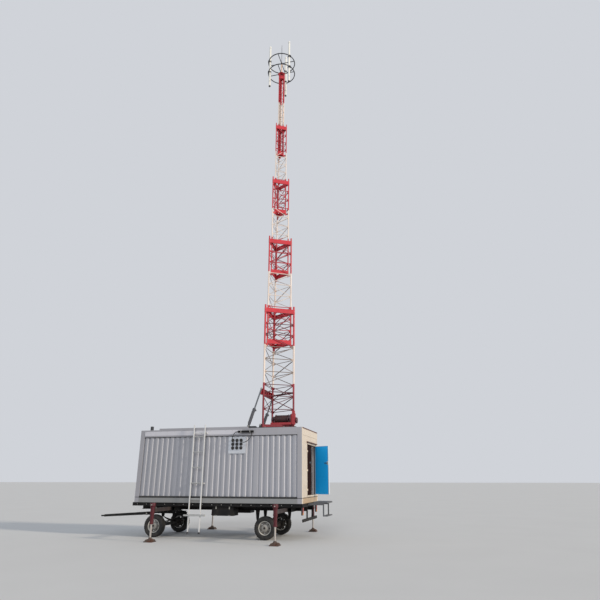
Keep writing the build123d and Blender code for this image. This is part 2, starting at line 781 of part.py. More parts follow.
def front_bogie():
    x = bx(FRONT_AXLE_X)
    axle_top = WHEEL_R + AXLE_SQ / 2
    eye_z = axle_top + SPRING_EYE_RISE
    ring_top = bz(-CHASSIS_H - 30) - SEAT
    springs = [leaf_spring(x, y, axle_top) for y in (-RAIL_Y, RAIL_Y)]
    with BuildPart() as bogie:
        with Locations((x, 0, ring_top - 15)):
            Cylinder(TURNTABLE_R, 30)
            Cylinder(TURNTABLE_R - 90, 32, mode=Mode.SUBTRACT)
        corner(x - 60, -RAIL_Y - 55, ring_top - 70, 120, 2 * RAIL_Y + 110, 70)
        axle_beam(x)
        add(springs)
        for y in (-RAIL_Y, RAIL_Y):
            corner(x - 70, y - 50, axle_top - 20, 140, 100, SPRING_T + 30)
            corner(x - SPRING_HALF - 60, y - 55, ring_top - 110, 2 * SPRING_HALF + 120, 110, 50)
            for end in (-SPRING_HALF, SPRING_HALF):
                corner(x + end - 35, y - 50, eye_z - 30, 70, 100, ring_top - 100 - eye_z + 30)
            hinge_x, hinge_z = bx(DRAWBAR_HINGE_X), bz(DRAWBAR_HINGE_Z)
            for offset in (-40 - 2 - 20, 40 + 2):
                with BuildSketch(Plane.XZ.offset(-(y + offset + 20))):
                    with Locations((hinge_x, hinge_z)):
                        Circle(50)
                    with Locations((hinge_x + 60, hinge_z + 5)):
                        Rectangle(120, 88)
                extrude(amount=20)
            y_cylinder(hinge_x, hinge_z, y - 62, y + 62, 20)
    return bogie.part


def drawbar():
    hinge_x, hinge_z = bx(DRAWBAR_HINGE_X), bz(DRAWBAR_HINGE_Z)
    eye_x = bx(-EYE_REACH) + TOW_EYE_R
    eye_z = bz(EYE_Z_DROP)
    slope = math.degrees(math.atan2(hinge_z - eye_z, hinge_x - eye_x))
    length = math.hypot(hinge_x - eye_x, hinge_z - eye_z)
    plane = Plane(
        (eye_x, 0, eye_z),
        x_dir=(math.cos(math.radians(slope)), 0, math.sin(math.radians(slope))),
        z_dir=(-math.sin(math.radians(slope)), 0, math.cos(math.radians(slope))),
    )
    neck = 330
    with BuildPart() as bar_part:
        with BuildSketch(plane):
            for side in (-1, 1):
                bar((neck, side * 30), (length, side * RAIL_Y), DRAWBAR_SQ)
                with Locations((length, side * RAIL_Y)):
                    Circle(44)
            with Locations(((neck + 40) / 2, 0)):
                Rectangle(neck + 40, DRAWBAR_SQ)
            with Locations((length * 0.62, 0)):
                Rectangle(DRAWBAR_SQ, 2 * RAIL_Y * 0.55)
        extrude(amount=DRAWBAR_SQ / 2, both=True)
        with Locations((eye_x, 0, eye_z)):
            Cylinder(TOW_EYE_R + 40, DRAWBAR_SQ + 60, mode=Mode.SUBTRACT)
            Cylinder(TOW_EYE_R, 45)
        corner(eye_x, -22, eye_z - 22, 120, 44, 44)
        with Locations((eye_x, 0, eye_z)):
            Cylinder(TOW_EYE_BORE, 60, mode=Mode.SUBTRACT)
        for y in (-RAIL_Y, RAIL_Y):
            corner(hinge_x - 70, y - 100, hinge_z - 90, 160, 60, 180, mode=Mode.SUBTRACT)
            corner(hinge_x - 70, y + 40, hinge_z - 90, 160, 60, 180, mode=Mode.SUBTRACT)
            corner(hinge_x + 44, y - 60, hinge_z - 90, 60, 120, 180, mode=Mode.SUBTRACT)
            y_cylinder(hinge_x, hinge_z, y - 60, y + 60, 20 + SEAT, mode=Mode.SUBTRACT)
    return bar_part.part


def outrigger_arm(station, side):
    """A sliding arm with its jack tube; side is -1 near, +1 far."""
    x = bx(OUTRIGGER_X[station]) + (ARM_PITCH if side > 0 else 0)
    z = bz(CASING_WALL - CHASSIS_H)
    inner = side * ARM_INNER_Y
    outer = side * (JACK_Y - JACK_R + 20)
    with BuildPart() as arm:
        corner(x - ARM_W / 2, min(inner, outer), z, ARM_W, abs(outer - inner), ARM_H)
        with Locations((x, side * JACK_Y, bz(JACK_BOTTOM_Z))):
            Cylinder(JACK_R, JACK_TOP_Z - JACK_BOTTOM_Z, align=(Align.CENTER, Align.CENTER, Align.MIN))
            Cylinder(
                JACK_BORE, JACK_TOP_Z - JACK_BOTTOM_Z - 60,
                align=(Align.CENTER, Align.CENTER, Align.MIN), mode=Mode.SUBTRACT,
            )
    return arm.part


def jack_leg(station, side):
    x = bx(OUTRIGGER_X[station]) + (ARM_PITCH if side > 0 else 0)
    y = side * JACK_Y
    low = (Align.CENTER, Align.CENTER, Align.MIN)
    with BuildPart() as leg:
        with Locations((x, y, 0)):
            Box(FOOT_SIDE, FOOT_SIDE, FOOT_H, align=low)
            Cylinder(JACK_ROD_R, bz(JACK_BOTTOM_Z) + 250, align=low)
        with Locations((x, y, FOOT_H)):
            Cone(90, JACK_ROD_R, 60, align=low)
        with Locations((x, y, bz(JACK_BOTTOM_Z) + 150)):
            Cylinder(JACK_BORE - SEAT, 100, align=low)
    return leg.part


def tyre(x, y):
    """Revolved tyre with a rounded shoulder, drawn in the plane of the wheel's radius."""
    half = TYRE_W / 2
    plane = Plane((x, y, WHEEL_R), x_dir=(0, 1, 0), z_dir=(-1, 0, 0))
    with BuildPart() as rubber:
        with BuildSketch(plane):
            with BuildLine():
                Polyline(
                    (-half + 25, RIM_R), (-half, RIM_R + 40), (-half, WHEEL_R - 50),
                    (-half + 25, WHEEL_R), (half - 25, WHEEL_R), (half, WHEEL_R - 50),
                    (half, RIM_R + 40), (half - 25, RIM_R), close=True,
                )
            make_face()
        revolve(axis=Axis((x, y, WHEEL_R), (0, 1, 0)))
    return rubber.part


def rim(x, y, side):
    """Dished rim with a hub, running on the axle stub; side is the outer side."""
    half = TYRE_W / 2
    with BuildPart() as disc:
        with BuildSketch(Plane((x, y, WHEEL_R), x_dir=(0, 1, 0), z_dir=(-1, 0, 0))):
            with BuildLine():
                Polyline(
                    (-side * (half - 25), RIM_R - SEAT), (side * (half - 25), RIM_R - SEAT),
                    (side * (half - 25), RIM_R - 14), (side * 40, RIM_R - 24),
                    (side * 40, 150), (side * 80, 110), (side * 112, 96),
                    (side * 112, STUB_R + SEAT), (-side * 40, STUB_R + SEAT),
                    (-side * 40, 90), (side * 20, 100), (side * 20, RIM_R - 24),
                    (-side * (half - 25), RIM_R - 14), close=True,
                )
            make_face()
        revolve(axis=Axis((x, y, WHEEL_R), (0, 1, 0)))
    return disc.part


def rear_bumper():
    with BuildPart() as bumper:
        corner(bx(BOX_L - 40), -1050, bz(-560), 40, 2100, 90)
        for y in (-RAIL_Y - 30, RAIL_Y - 30):
            corner(bx(BOX_L - 40), y, bz(-470), 40, 60, 470 - CHASSIS_H)
    return bumper.part


def tail_lamps():
    with BuildPart() as lamps:
        for y in (-1100, 980):
            corner(bx(BOX_L - 60), y, bz(-BEARER_H - 240), 60, 120, 240)
    return lamps.part


def tool_boxes():
    with BuildPart() as boxes:
        corner(bx(2900), -1100, bz(-BEARER_H - 290), 760, 480, 290)
        corner(bx(2900), 620, bz(-BEARER_H - 290), 760, 480, 290)
    return boxes.part


# Fittings on the near wall
def ladder():
    rail = 40
    with BuildPart() as steps:
        height = LADDER_TOP - LADDER_BOTTOM
        for x in (LADDER_X0, LADDER_X1 - rail):
            corner(bx(x), LADDER_Y - 30, bz(LADDER_BOTTOM), rail, 60, height)
        for index in range(1, LADDER_RUNGS):
            z = bz(LADDER_STEP_Z + index * LADDER_RUNG_PITCH)
            x_cylinder(bx(LADDER_X0 + rail / 2), bx(LADDER_X1 - rail / 2), LADDER_Y, z, 15)
        middle = (LADDER_X0 + LADDER_X1) / 2
        corner(bx(middle - LADDER_STEP_W / 2), LADDER_Y - 45, bz(LADDER_STEP_Z) - 25, LADDER_STEP_W, 90, 50)
        for z in LADDER_TIE_Z:
            reach = NEAR_Y - LADDER_Y - 30
            corner(bx(LADDER_X0) - 40, LADDER_Y + 30, bz(z) - 20, LADDER_X1 - LADDER_X0 + 80, reach, 40)
    return steps.part


def port_panel():
    y = NEAR_Y + WALL_RECESS
    with BuildPart() as panel:
        corner(
            bx(PORT_X0), y - PORT_T, bz(PORT_Z0), PORT_X1 - PORT_X0, PORT_T, PORT_Z1 - PORT_Z0,
        )
        for column in (-1, 0, 1):
            for row in (-1, 0, 1):
                x = bx(PORT_CENTRE_X + column * PORT_PITCH)
                z = bz(PORT_CENTRE_Z + row * PORT_PITCH * 0.84)
                y_cylinder(x, z, y - PORT_T, y - PORT_T - PORT_DEPTH, PORT_R)
    return panel.part


def cable_tray():
    with BuildPart() as tray:
        corner(
            bx(TRAY_X0), NEAR_Y - TRAY_DEPTH, bz(TRAY_Z0),
            TRAY_X1 - TRAY_X0, TRAY_DEPTH, TRAY_Z1 - TRAY_Z0,
        )
    return tray.part


def roof_coaming():
    """Folded strip along the near roof edge that keeps rain off the wall."""
    with BuildPart() as strip:
        with BuildSketch(Plane.YZ.offset(bx(COAMING_X0))):
            with BuildLine():
                Polyline(
                    (NEAR_Y + 15, FRAME_Z), (NEAR_Y + 15, FRAME_Z + COAMING_H),
                    (NEAR_Y + 40, FRAME_Z + COAMING_H), (NEAR_Y + 75, FRAME_Z + 6),
                    (NEAR_Y + 130, FRAME_Z + 6), (NEAR_Y + 130, FRAME_Z), close=True,
                )
            make_face()
        extrude(amount=COAMING_X1 - COAMING_X0)
    return strip.part


def mast_rest():
    """Cross member with two padded posts that take the legs of the lowered mast."""
    x = bx(MAST_REST_X)
    top = bz(TILT_Z) + (leg_centre(0, 120)[0] - bx(TILT_X)) - SECTION_LEG[0] - 6
    with BuildPart() as rest:
        corner(x - 40, -LEG_Y - 90, FRAME_Z, 80, 2 * LEG_Y + 180, 50)
        for y in (-LEG_Y, LEG_Y):
            corner(x - 35, y - 60, FRAME_Z + 50, 70, 120, top - FRAME_Z - 50)
    return rest.part


# Feeder cables: straight runs joined by tangent arcs
PORT_FACE_Y = NEAR_Y + WALL_RECESS - PORT_T - PORT_DEPTH
CABLE_END_Y = NEAR_Y - TRAY_DEPTH / 2
CABLE_TOP_ROUTE = [
    (3590, PORT_FACE_Y, 2031), (3590, PORT_FACE_Y - 70, 2031), (3622, PORT_FACE_Y - 135, 2068),
    (3652, PORT_FACE_Y - 140, 2150), (3668, PORT_FACE_Y - 100, 2236),
    (3706, PORT_FACE_Y - 62, 2298), (3745, CABLE_END_Y, 2318), (TRAY_X0, CABLE_END_Y, 2318),
]
CABLE_SIDE_ROUTE = [
    (3890, PORT_FACE_Y, 2031), (3890, PORT_FACE_Y - 75, 2031), (3942, PORT_FACE_Y - 138, 1978),
    (4035, PORT_FACE_Y - 150, 1945), (4130, PORT_FACE_Y - 130, 1965),
    (4215, PORT_FACE_Y - 90, 2045), (4280, CABLE_END_Y, 2165), (4280, CABLE_END_Y, TRAY_Z0),
]


def corner_radii(points):
    """The arc at each inner point: 0.45 of the shorter run over the tangent of half the turn."""
    radii = []
    for before, here, after in zip(points, points[1:], points[2:]):
        run_in = Vector(*here) - Vector(*before)
        run_out = Vector(*after) - Vector(*here)
        half_turn = math.radians(run_in.get_angle(run_out)) / 2
        radii.append(0.45 * min(run_in.length, run_out.length) / math.tan(half_turn))
    return radii


def cable(route):
    points = [(bx(x), y, bz(z)) for x, y, z in route]
    radii = corner_radii(points)
    print("cable radii", [round(radius) for radius in radii])
    with BuildPart() as tube:
        with BuildLine() as path:
            run = FilletPolyline(*points, radius=radii)
        with BuildSketch(Plane(run @ 0, z_dir=run % 0)):
            Circle(CABLE_R)
        sweep(path=run)
    share = tube.part.volume / (math.pi * CABLE_R ** 2 * run.length)
    print("cable length", round(run.length), "volume share", round(share, 4))
    return tube.part


save(corner_posts(), "corner_posts")
save(box_rails(bz(0), BOTTOM_RAIL_H), "bottom_rails")
save(box_rails(bz(BOX_H - TOP_RAIL_H), TOP_RAIL_H), "top_rails")
save(deck(bz(BOTTOM_RAIL_H - FLOOR_T), FLOOR_T), "floor")
save(deck(bz(BOX_H - ROOF_DROP - ROOF_T), ROOF_T), "roof")
save(side_wall(-1), "near_wall")
save(side_wall(1), "far_wall")
save(drawbar_end_wall(), "drawbar_end_wall")
save(door_end_wall(), "door_end_wall")
save(door_head_and_sill(), "door_head_and_sill")
OPEN_TURN = math.radians(LEAF_OPEN - 90)
save(door_leaf(DOOR_Y1, (math.cos(OPEN_TURN), math.sin(OPEN_TURN), 0), 1), "door_leaf_far")
save(door_leaf(DOOR_Y0, (0, 1, 0), -1), "door_leaf_near")
save(door_hood(), "door_hood")
save(entry_step(), "entry_step")
save(mast_roof_frame(), "mast_roof_frame")
for number in range(len(SECTION_SIDE)):
    save(mast_section(number), "mast_section_" + str(number + 1))
save(winch(), "winch")
for side_name, side_sign in (("near", -1), ("far", 1)):
    save(tilt_barrel(side_sign * CYL_Y), "tilt_barrel_" + side_name)
    save(tilt_rod(side_sign * CYL_Y), "tilt_rod_" + side_name)
save(antenna_frame(), "antenna_frame")
save(antennas(), "antennas")
save(chassis_frame(), "chassis_frame")
save(rear_axle(), "rear_axle")
save(front_bogie(), "front_bogie")
save(drawbar(), "drawbar")
for station, end_name in enumerate(("front", "rear")):
    axle_x = bx((FRONT_AXLE_X, REAR_AXLE_X)[station])
    for side_name, side_sign in (("near", -1), ("far", 1)):
        place = end_name + "_" + side_name
        save(outrigger_arm(station, side_sign), "outrigger_arm_" + place)
        save(jack_leg(station, side_sign), "jack_leg_" + place)
        save(tyre(axle_x, side_sign * TRACK / 2), "tyre_" + place)
        save(rim(axle_x, side_sign * TRACK / 2, side_sign), "rim_" + place)
save(rear_bumper(), "rear_bumper")
save(tail_lamps(), "tail_lamps")
save(tool_boxes(), "tool_boxes")
save(ladder(), "ladder")
save(port_panel(), "port_panel")
save(cable_tray(), "cable_tray")
save(roof_coaming(), "roof_coaming")
save(mast_rest(), "mast_rest")
save(cable(CABLE_TOP_ROUTE), "feeder_cable_top")
save(cable(CABLE_SIDE_ROUTE), "feeder_cable_side")
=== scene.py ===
# %% [markdown]
# # A telescopic radio mast on its box shelter
# A red and white lattice mast of five sections stands on the roof of a ribbed white shelter. The
# shelter rides on a four-wheel trailer and is held level by four jacks. The solid model comes in
# first and fixes every size and joint. Each cell after it dresses one piece of that model: the
# flat bars become round tubes, the slabs get their folds and hinges, and every surface gets paint,
# rubber or steel made from nodes.

# %% Start: load the solid model as a fixed frame
import math

import bpy
import numpy as np
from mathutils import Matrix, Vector


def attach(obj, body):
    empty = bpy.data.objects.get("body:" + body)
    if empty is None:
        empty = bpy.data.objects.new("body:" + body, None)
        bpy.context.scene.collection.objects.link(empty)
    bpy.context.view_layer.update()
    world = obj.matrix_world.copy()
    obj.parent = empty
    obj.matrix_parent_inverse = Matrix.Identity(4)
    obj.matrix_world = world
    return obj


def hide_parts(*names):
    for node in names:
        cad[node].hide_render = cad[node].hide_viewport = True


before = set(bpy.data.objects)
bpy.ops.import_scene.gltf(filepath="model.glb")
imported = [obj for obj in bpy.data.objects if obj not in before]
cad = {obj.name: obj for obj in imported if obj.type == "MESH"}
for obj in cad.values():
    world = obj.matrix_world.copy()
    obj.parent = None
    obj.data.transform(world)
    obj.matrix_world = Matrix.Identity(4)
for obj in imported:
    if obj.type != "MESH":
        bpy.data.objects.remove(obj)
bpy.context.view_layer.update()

# %% [markdown]
# ## The camera comes first
# The photograph was taken from the ladder side, low down, with the camera tipped up to take in
# the whole mast. The shelter has six corners that show, and a standard box of 6.058 by 2.438 by
# 2.438 m fits all six through one camera. Its place and angles are given here as named values, so
# that everything else can be compared with the photograph at the same size.

# %% Camera
IMAGE_SIDE = 600
FOCAL_PIXELS = 507.6
SENSOR_WIDTH = 36.0
CAMERA_PLACE = (7.933, -18.381, 1.853)
CAMERA_PITCH = math.radians(19.527)
CAMERA_TURN = math.radians(13.996)

scene = bpy.context.scene
camera = bpy.data.objects.new("camera", bpy.data.cameras.new("camera"))
scene.collection.objects.link(camera)
camera.data.sensor_width = SENSOR_WIDTH
camera.data.lens = FOCAL_PIXELS / IMAGE_SIDE * SENSOR_WIDTH
camera.data.clip_end = 900
camera.location = CAMERA_PLACE
camera.rotation_euler = (math.pi / 2 + CAMERA_PITCH, 0, CAMERA_TURN)
scene.camera = camera
scene.view_settings.view_transform = "Standard"
print("camera lens", round(camera.data.lens, 2), "mm")

# %% [markdown]
# ## Shapes from arrays
# Most of this object is sheet, bar and tube, so a few shape makers cover it. Each one works out
# all of its points at once as numpy arrays and returns them with the faces between them. A shape
# is a pair: an array of points, and a list of arrays of point numbers, one row per face.

# %% Shape makers
AXIS_GAP = 0.0005
UP, ALONG, SIDEWAYS = (0, 0, 1), (1, 0, 0), (0, 1, 0)


def grid_faces(rows, columns, wrap_rows=False, wrap_columns=False):
    """Squares between neighbours of a rows x columns grid of points, numbered row by row."""
    row = np.arange(rows if wrap_rows else rows - 1)[:, None]
    column = np.arange(columns if wrap_columns else columns - 1)[None, :]
    row_next, column_next = (row + 1) % rows, (column + 1) % columns
    corners = (row * columns + column, row_next * columns + column,
               row_next * columns + column_next, row * columns + column_next)
    return np.stack([corner.ravel() for corner in np.broadcast_arrays(*corners)], axis=1)


def unit(vectors):
    """Each vector divided by its length."""
    vectors = np.asarray(vectors, float)
    return vectors / np.linalg.norm(vectors, axis=-1, keepdims=True)


def joined(*shapes):
    """One shape made of several: points follow on, and each face's numbers shift to suit."""
    starts = np.cumsum([0] + [len(points) for points, faces in shapes[:-1]])
    points = np.concatenate([points for points, faces in shapes])
    faces = [block + start for (_, blocks), start in zip(shapes, starts) for block in blocks]
    return points, faces


def bars(starts, ends, outline, side=UP):
    """Straight bars of one outline: each point is an end plus u times across plus v times up."""
    starts, ends = np.atleast_2d(starts).astype(float), np.atleast_2d(ends).astype(float)
    outline = np.asarray(outline, float)
    along = unit(ends - starts)
    across = unit(np.cross(np.broadcast_to(side, along.shape), along))
    up = np.cross(along, across)
    ring = outline[:, 0, None] * across[:, None] + outline[:, 1, None] * up[:, None]
    points = np.stack([starts[:, None] + ring, ends[:, None] + ring], axis=1)
    bar_count, corners = len(starts), len(outline)
    corner = np.arange(corners)
    following = (corner + 1) % corners
    walls = np.stack([corner, following, corners + following, corners + corner], axis=1)
    base = (np.arange(bar_count) * 2 * corners)[:, None]
    walls = (base[:, :, None] + walls).reshape(-1, 4)
    return points.reshape(-1, 3), [walls, base + corners + corner, base + corner[::-1]]


def circle(radius, count=10):
    """Points evenly round a circle, anticlockwise."""
    turn = np.arange(count) * 2 * np.pi / count
    return radius * np.stack([np.cos(turn), np.sin(turn)], axis=1)


def rectangle(width, height, u=0.0, v=0.0):
    """Corners of a rectangle round (u, v), anticlockwise."""
    signs = np.array([(-1, -1), (1, -1), (1, 1), (-1, 1)])
    return signs * (width / 2, height / 2) + (u, v)


def angle_iron(leg, thickness):
    """Outline of an equal angle whose outer corner is at the origin."""
    return np.array([
        (0, 0), (leg, 0), (leg, thickness), (thickness, thickness), (thickness, leg), (0, leg),
    ])


def channel(width, height, thickness):
    """Outline of a channel with its web on the left and its middle at the origin."""
    left, right, top = -width / 2, width / 2, height / 2
    inner_left, inner_top = left + thickness, top - thickness
    return np.array([
        (left, -top), (right, -top), (right, -inner_top), (inner_left, -inner_top),
        (inner_left, inner_top), (right, inner_top), (right, top), (left, top),
    ])


def boxes(lows, highs):
    """Upright boxes between pairs of corners: a point is low plus a unit cube times the size."""
    lows, highs = np.atleast_2d(lows).astype(float), np.atleast_2d(highs).astype(float)
    cube = np.array([(x, y, z) for z in (0, 1) for y in (0, 1) for x in (0, 1)])
    points = lows[:, None] + cube * (highs - lows)[:, None]
    sides = np.array([
        (0, 2, 3, 1), (4, 5, 7, 6), (0, 1, 5, 4), (2, 6, 7, 3), (0, 4, 6, 2), (1, 3, 7, 5),
    ])
    faces = (np.arange(len(lows)) * 8)[:, None, None] + sides
    return points.reshape(-1, 3), [faces.reshape(-1, 4)]


def block(corner, size):
    """One upright box from its low corner and its size."""
    return boxes(corner, np.asarray(corner) + size)


def turned(profile, centre, axis, count=32):
    """A profile of (radius, height) pairs carried once round an axis, closed into a ring."""
    profile, axis = np.asarray(profile, float), unit(axis)
    helper = ALONG if abs(axis[0]) < 0.9 else SIDEWAYS
    first = unit(np.cross(axis, helper))
    second = np.cross(axis, first)
    turn = np.arange(count)[:, None] * 2 * np.pi / count
    radial = np.cos(turn) * first + np.sin(turn) * second
    outward, along = profile[None, :, :1], profile[None, :, 1:]
    points = outward * radial[:, None] + along * axis + np.asarray(centre)
    faces = grid_faces(count, len(profile), wrap_rows=True, wrap_columns=True)
    return points.reshape(-1, 3), [faces]


def spun(profile, centre, axis, count=32):
    """A solid turned round an axis: both ends of the profile run in to a hair's breadth of it."""
    profile = [(AXIS_GAP, profile[0][1]), *profile, (AXIS_GAP, profile[-1][1])]
    return turned(profile, centre, axis, count)


def swept(path, outline, side):
    """An outline carried along a path: each ring lies across the path's local direction."""
    path, outline = np.asarray(path, float), np.asarray(outline, float)
    along = unit(np.gradient(path, axis=0))
    across = unit(np.cross(np.broadcast_to(side, along.shape), along))
    up = np.cross(along, across)
    ring = outline[:, 0, None] * across[:, None] + outline[:, 1, None] * up[:, None]
    points = path[:, None] + ring
    count, corners = len(path), len(outline)
    walls = grid_faces(count, corners, wrap_columns=True)[:, ::-1]
    corner = np.arange(corners)[None]
    return points.reshape(-1, 3), [walls, (count - 1) * corners + corner, corner[:, ::-1]]


def heads(places, direction, across_flats, height, count=6):
    """Bolt heads: short prisms that stand on a face at each place."""
    places = np.atleast_2d(places).astype(float)
    tops = places + unit(direction) * height
    side = UP if abs(unit(direction)[2]) < 0.9 else ALONG
    return bars(places, tops, circle(across_flats / math.sqrt(3), count), side)


print("shape makers ready")

# %% [markdown]
# ## From a shape to a piece
# A piece is one mesh object that rides on a body of the solid model and takes the finish that it
# is given. Sheet metal and bar have small rounded edges that catch the light, so most pieces get a
# fine bevel. Shading is smooth on round faces and flat across sharp edges.

# %% Pieces
SMOOTH_ANGLE = math.radians(32)
WELD_GAP = 0.00005
TRAILER = "trailer_body"
SIDES = (("near", -1), ("far", 1))
made_pieces = []


def soften(target, width):
    """Fine rounded edges wherever two faces meet at more than the smooth angle."""
    rounding = target.modifiers.new("rounding", "BEVEL")
    rounding.width = width
    rounding.segments = 2
    rounding.limit_method = "ANGLE"
    rounding.angle_limit = SMOOTH_ANGLE
    rounding.harden_normals = True


def piece(name, shape, body, slot, finish, replaced=(), bevel=0.0):
    """A mesh object of a shape, or of a list of them, with its finish, body and replaced nodes."""
    points, blocks = joined(*shape) if isinstance(shape, list) else shape
    mesh = bpy.data.meshes.new(name)
    mesh.from_pydata(points, [], [face for block in blocks for face in block.tolist()])
    mesh.update()
    made = bpy.data.objects.new(name, mesh)
    scene.collection.objects.link(made)
    mesh.shade_smooth()
    mesh.set_sharp_from_angle(angle=SMOOTH_ANGLE)
    if bevel:
        soften(made, bevel)
    mesh.materials.append(finish)
    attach(made, body)
    if replaced:
        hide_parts(*replaced)
    made_pieces.append(made)
    return made


def dress(node, finish, bevel=0.0):
    """A node of the solid model keeps its shape and gets a finish and, where asked, soft edges."""
    solid = cad[node]
    solid.data.materials.clear()
    solid.data.materials.append(finish)
    if bevel:
        weld = solid.modifiers.new("weld", "WELD")
        weld.merge_threshold = WELD_GAP
        soften(solid, bevel)


def zinc_piece(name, shape, body=TRAILER, bevel=0.0):
    """Small plated parts, such as bolts and pins, as one piece."""
    return piece(name, shape, body, "galvanised", zinc_bolt, bevel=bevel)


print("piece makers ready")

# %% [markdown]
# ## The two feeder cables
# Two thin coaxial cables leave the port plate, bow away from the wall and go back into the tray
# under the roof edge. Both ends are fixed, so the whole length shows. The line of each is a smooth
# NURBS curve through the same route as in the solid model, given a round section.

# %% Feeder cables
SHELTER_X0 = -2.334
SHELTER_Z0 = 1.12
NEAR_FACE_Y = -1.219
PORT_FACE_Y = NEAR_FACE_Y + 0.01 - 0.012 - 0.04
TRAY_LINE_Y = NEAR_FACE_Y - 0.05
CABLE_DIAMETER = 0.024
SHELTER = np.array((SHELTER_X0, 0.0, SHELTER_Z0))
TOP_CABLE_ROUTE = [
    (3.59, PORT_FACE_Y, 2.031), (3.59, PORT_FACE_Y - 0.07, 2.031),
    (3.622, PORT_FACE_Y - 0.135, 2.068), (3.652, PORT_FACE_Y - 0.14, 2.15),
    (3.668, PORT_FACE_Y - 0.1, 2.236), (3.706, PORT_FACE_Y - 0.062, 2.298),
    (3.745, TRAY_LINE_Y, 2.318), (3.79, TRAY_LINE_Y, 2.318),
]
SIDE_CABLE_ROUTE = [
    (3.89, PORT_FACE_Y, 2.031), (3.89, PORT_FACE_Y - 0.075, 2.031),
    (3.942, PORT_FACE_Y - 0.138, 1.978), (4.035, PORT_FACE_Y - 0.15, 1.945),
    (4.13, PORT_FACE_Y - 0.13, 1.965), (4.215, PORT_FACE_Y - 0.09, 2.045),
    (4.28, TRAY_LINE_Y, 2.165), (4.28, TRAY_LINE_Y, 2.285),
]


def shelter_point(x, y, z):
    """A place measured from the shelter's drawbar end and underside, in the model's frame."""
    return (x + SHELTER_X0, y, z + SHELTER_Z0)


def at(x, y, z):
    """The same for rows of numbers: one place for each, and a single number serves the row."""
    return np.stack(np.broadcast_arrays(x, y, z), axis=-1) + SHELTER


def feeder_cable(name, route, node, finish):
    """A round cable on a NURBS line whose control points are the route."""
    curve = bpy.data.curves.new(name, "CURVE")
    curve.dimensions = "3D"
    curve.bevel_depth = CABLE_DIAMETER / 2
    curve.bevel_resolution = 4
    curve.use_fill_caps = True
    line = curve.splines.new("NURBS")
    line.points.add(len(route) - 1)
    for point, place in zip(line.points, route):
        point.co = (*shelter_point(*place), 1)
    line.order_u = 3
    line.use_endpoint_u = True
    line.resolution_u = 8
    curve.materials.append(finish)
    made = bpy.data.objects.new(name, curve)
    scene.collection.objects.link(made)
    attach(made, "trailer_body")
    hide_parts(node)


print("cable routes of", len(TOP_CABLE_ROUTE), "and", len(SIDE_CABLE_ROUTE), "points")

# %% [markdown]
# ## Finishes
# Every finish is a small graph of nodes that reads Object coordinates, so it stays put when a
# piece moves. Paint has a broad change of tone, thin streaks that run down from rain, a film of
# dust that gathers low down and on ledges, and a fine orange-peel bump. Colours are written as
# the 0 to 255 values that they should show as, and turned into linear light.

# %% Node helpers
def linear(red, green, blue):
    """An sRGB colour of 0 to 255 as linear light: the sRGB curve, channel by channel."""
    share = np.array([red, green, blue]) / 255
    light = np.where(share <= 0.04045, share / 12.92, ((share + 0.055) / 1.055) ** 2.4)
    return (*light.tolist(), 1.0)


def feed(tree, socket, value):
    """An input linked to another node's output, or set to a plain value."""
    if isinstance(value, bpy.types.NodeSocket):
        tree.links.new(value, socket)
    else:
        socket.default_value = value


def add_node(tree, kind, links=(), **settings):
    """A node with its settings and its inputs."""
    made = tree.nodes.new(kind)
    for name, value in settings.items():
        setattr(made, name, value)
    for socket, value in dict(links).items():
        feed(tree, made.inputs[socket], value)
    return made


def axes_of(tree, vector):
    """The x, y and z of a vector, each as an output."""
    return add_node(tree, "ShaderNodeSeparateXYZ", {"Vector": vector}).outputs


def new_finish(name, roughness=0.5, metallic=0.0):
    """A material with its shader, and the place on the piece in Object coordinates."""
    finish = bpy.data.materials.new(name)
    finish.use_nodes = True
    tree = finish.node_tree
    shader = tree.nodes["Principled BSDF"]
    shader.inputs["Roughness"].default_value = roughness
    shader.inputs["Metallic"].default_value = metallic
    place = add_node(tree, "ShaderNodeTexCoord").outputs["Object"]
    return finish, tree, shader, place


def noise(tree, place, scale, detail=4.0, stretch=(1, 1, 1), rough=0.55):
    """Noise from 0 to 1 at a scale per metre, stretched along the axes."""
    mapped = add_node(tree, "ShaderNodeMapping", {"Vector": place, "Scale": stretch}).outputs[0]
    links = {"Vector": mapped, "Scale": scale, "Detail": detail, "Roughness": rough}
    return add_node(tree, "ShaderNodeTexNoise", links).outputs["Fac"]


def ranged(tree, value, low, high, to_low=0.0, to_high=1.0):
    """A value carried from one range to another and held inside it."""
    links = {
        "Value": value, "From Min": low, "From Max": high, "To Min": to_low, "To Max": to_high,
    }
    return add_node(tree, "ShaderNodeMapRange", links).outputs[0]


def mixed(tree, factor, first, second):
    """Colour mixed from first to second as the factor goes from 0 to 1."""
    links = {0: factor, 6: first, 7: second}
    return add_node(tree, "ShaderNodeMix", links, data_type="RGBA").outputs[2]


def calculated(tree, operation, *values):
    """One arithmetic step on up to three values."""
    return add_node(tree, "ShaderNodeMath", enumerate(values), operation=operation).outputs[0]


def coat(tree, shader, base, gloss=None):
    """The shader takes its colour, and its gloss where one is given."""
    tree.links.new(base, shader.inputs["Base Color"])
    if gloss:
        tree.links.new(gloss, shader.inputs["Roughness"])


def bumped(tree, shader, height, strength, distance):
    """A bump of the surface from a height."""
    links = {"Height": height, "Strength": strength, "Distance": distance}
    tree.links.new(add_node(tree, "ShaderNodeBump", links).outputs[0], shader.inputs["Normal"])


def shaded(colour, share):
    """A colour made darker or lighter by a share."""
    return (*[min(1.0, channel * share) for channel in colour[:3]], 1.0)


print("node helpers ready")
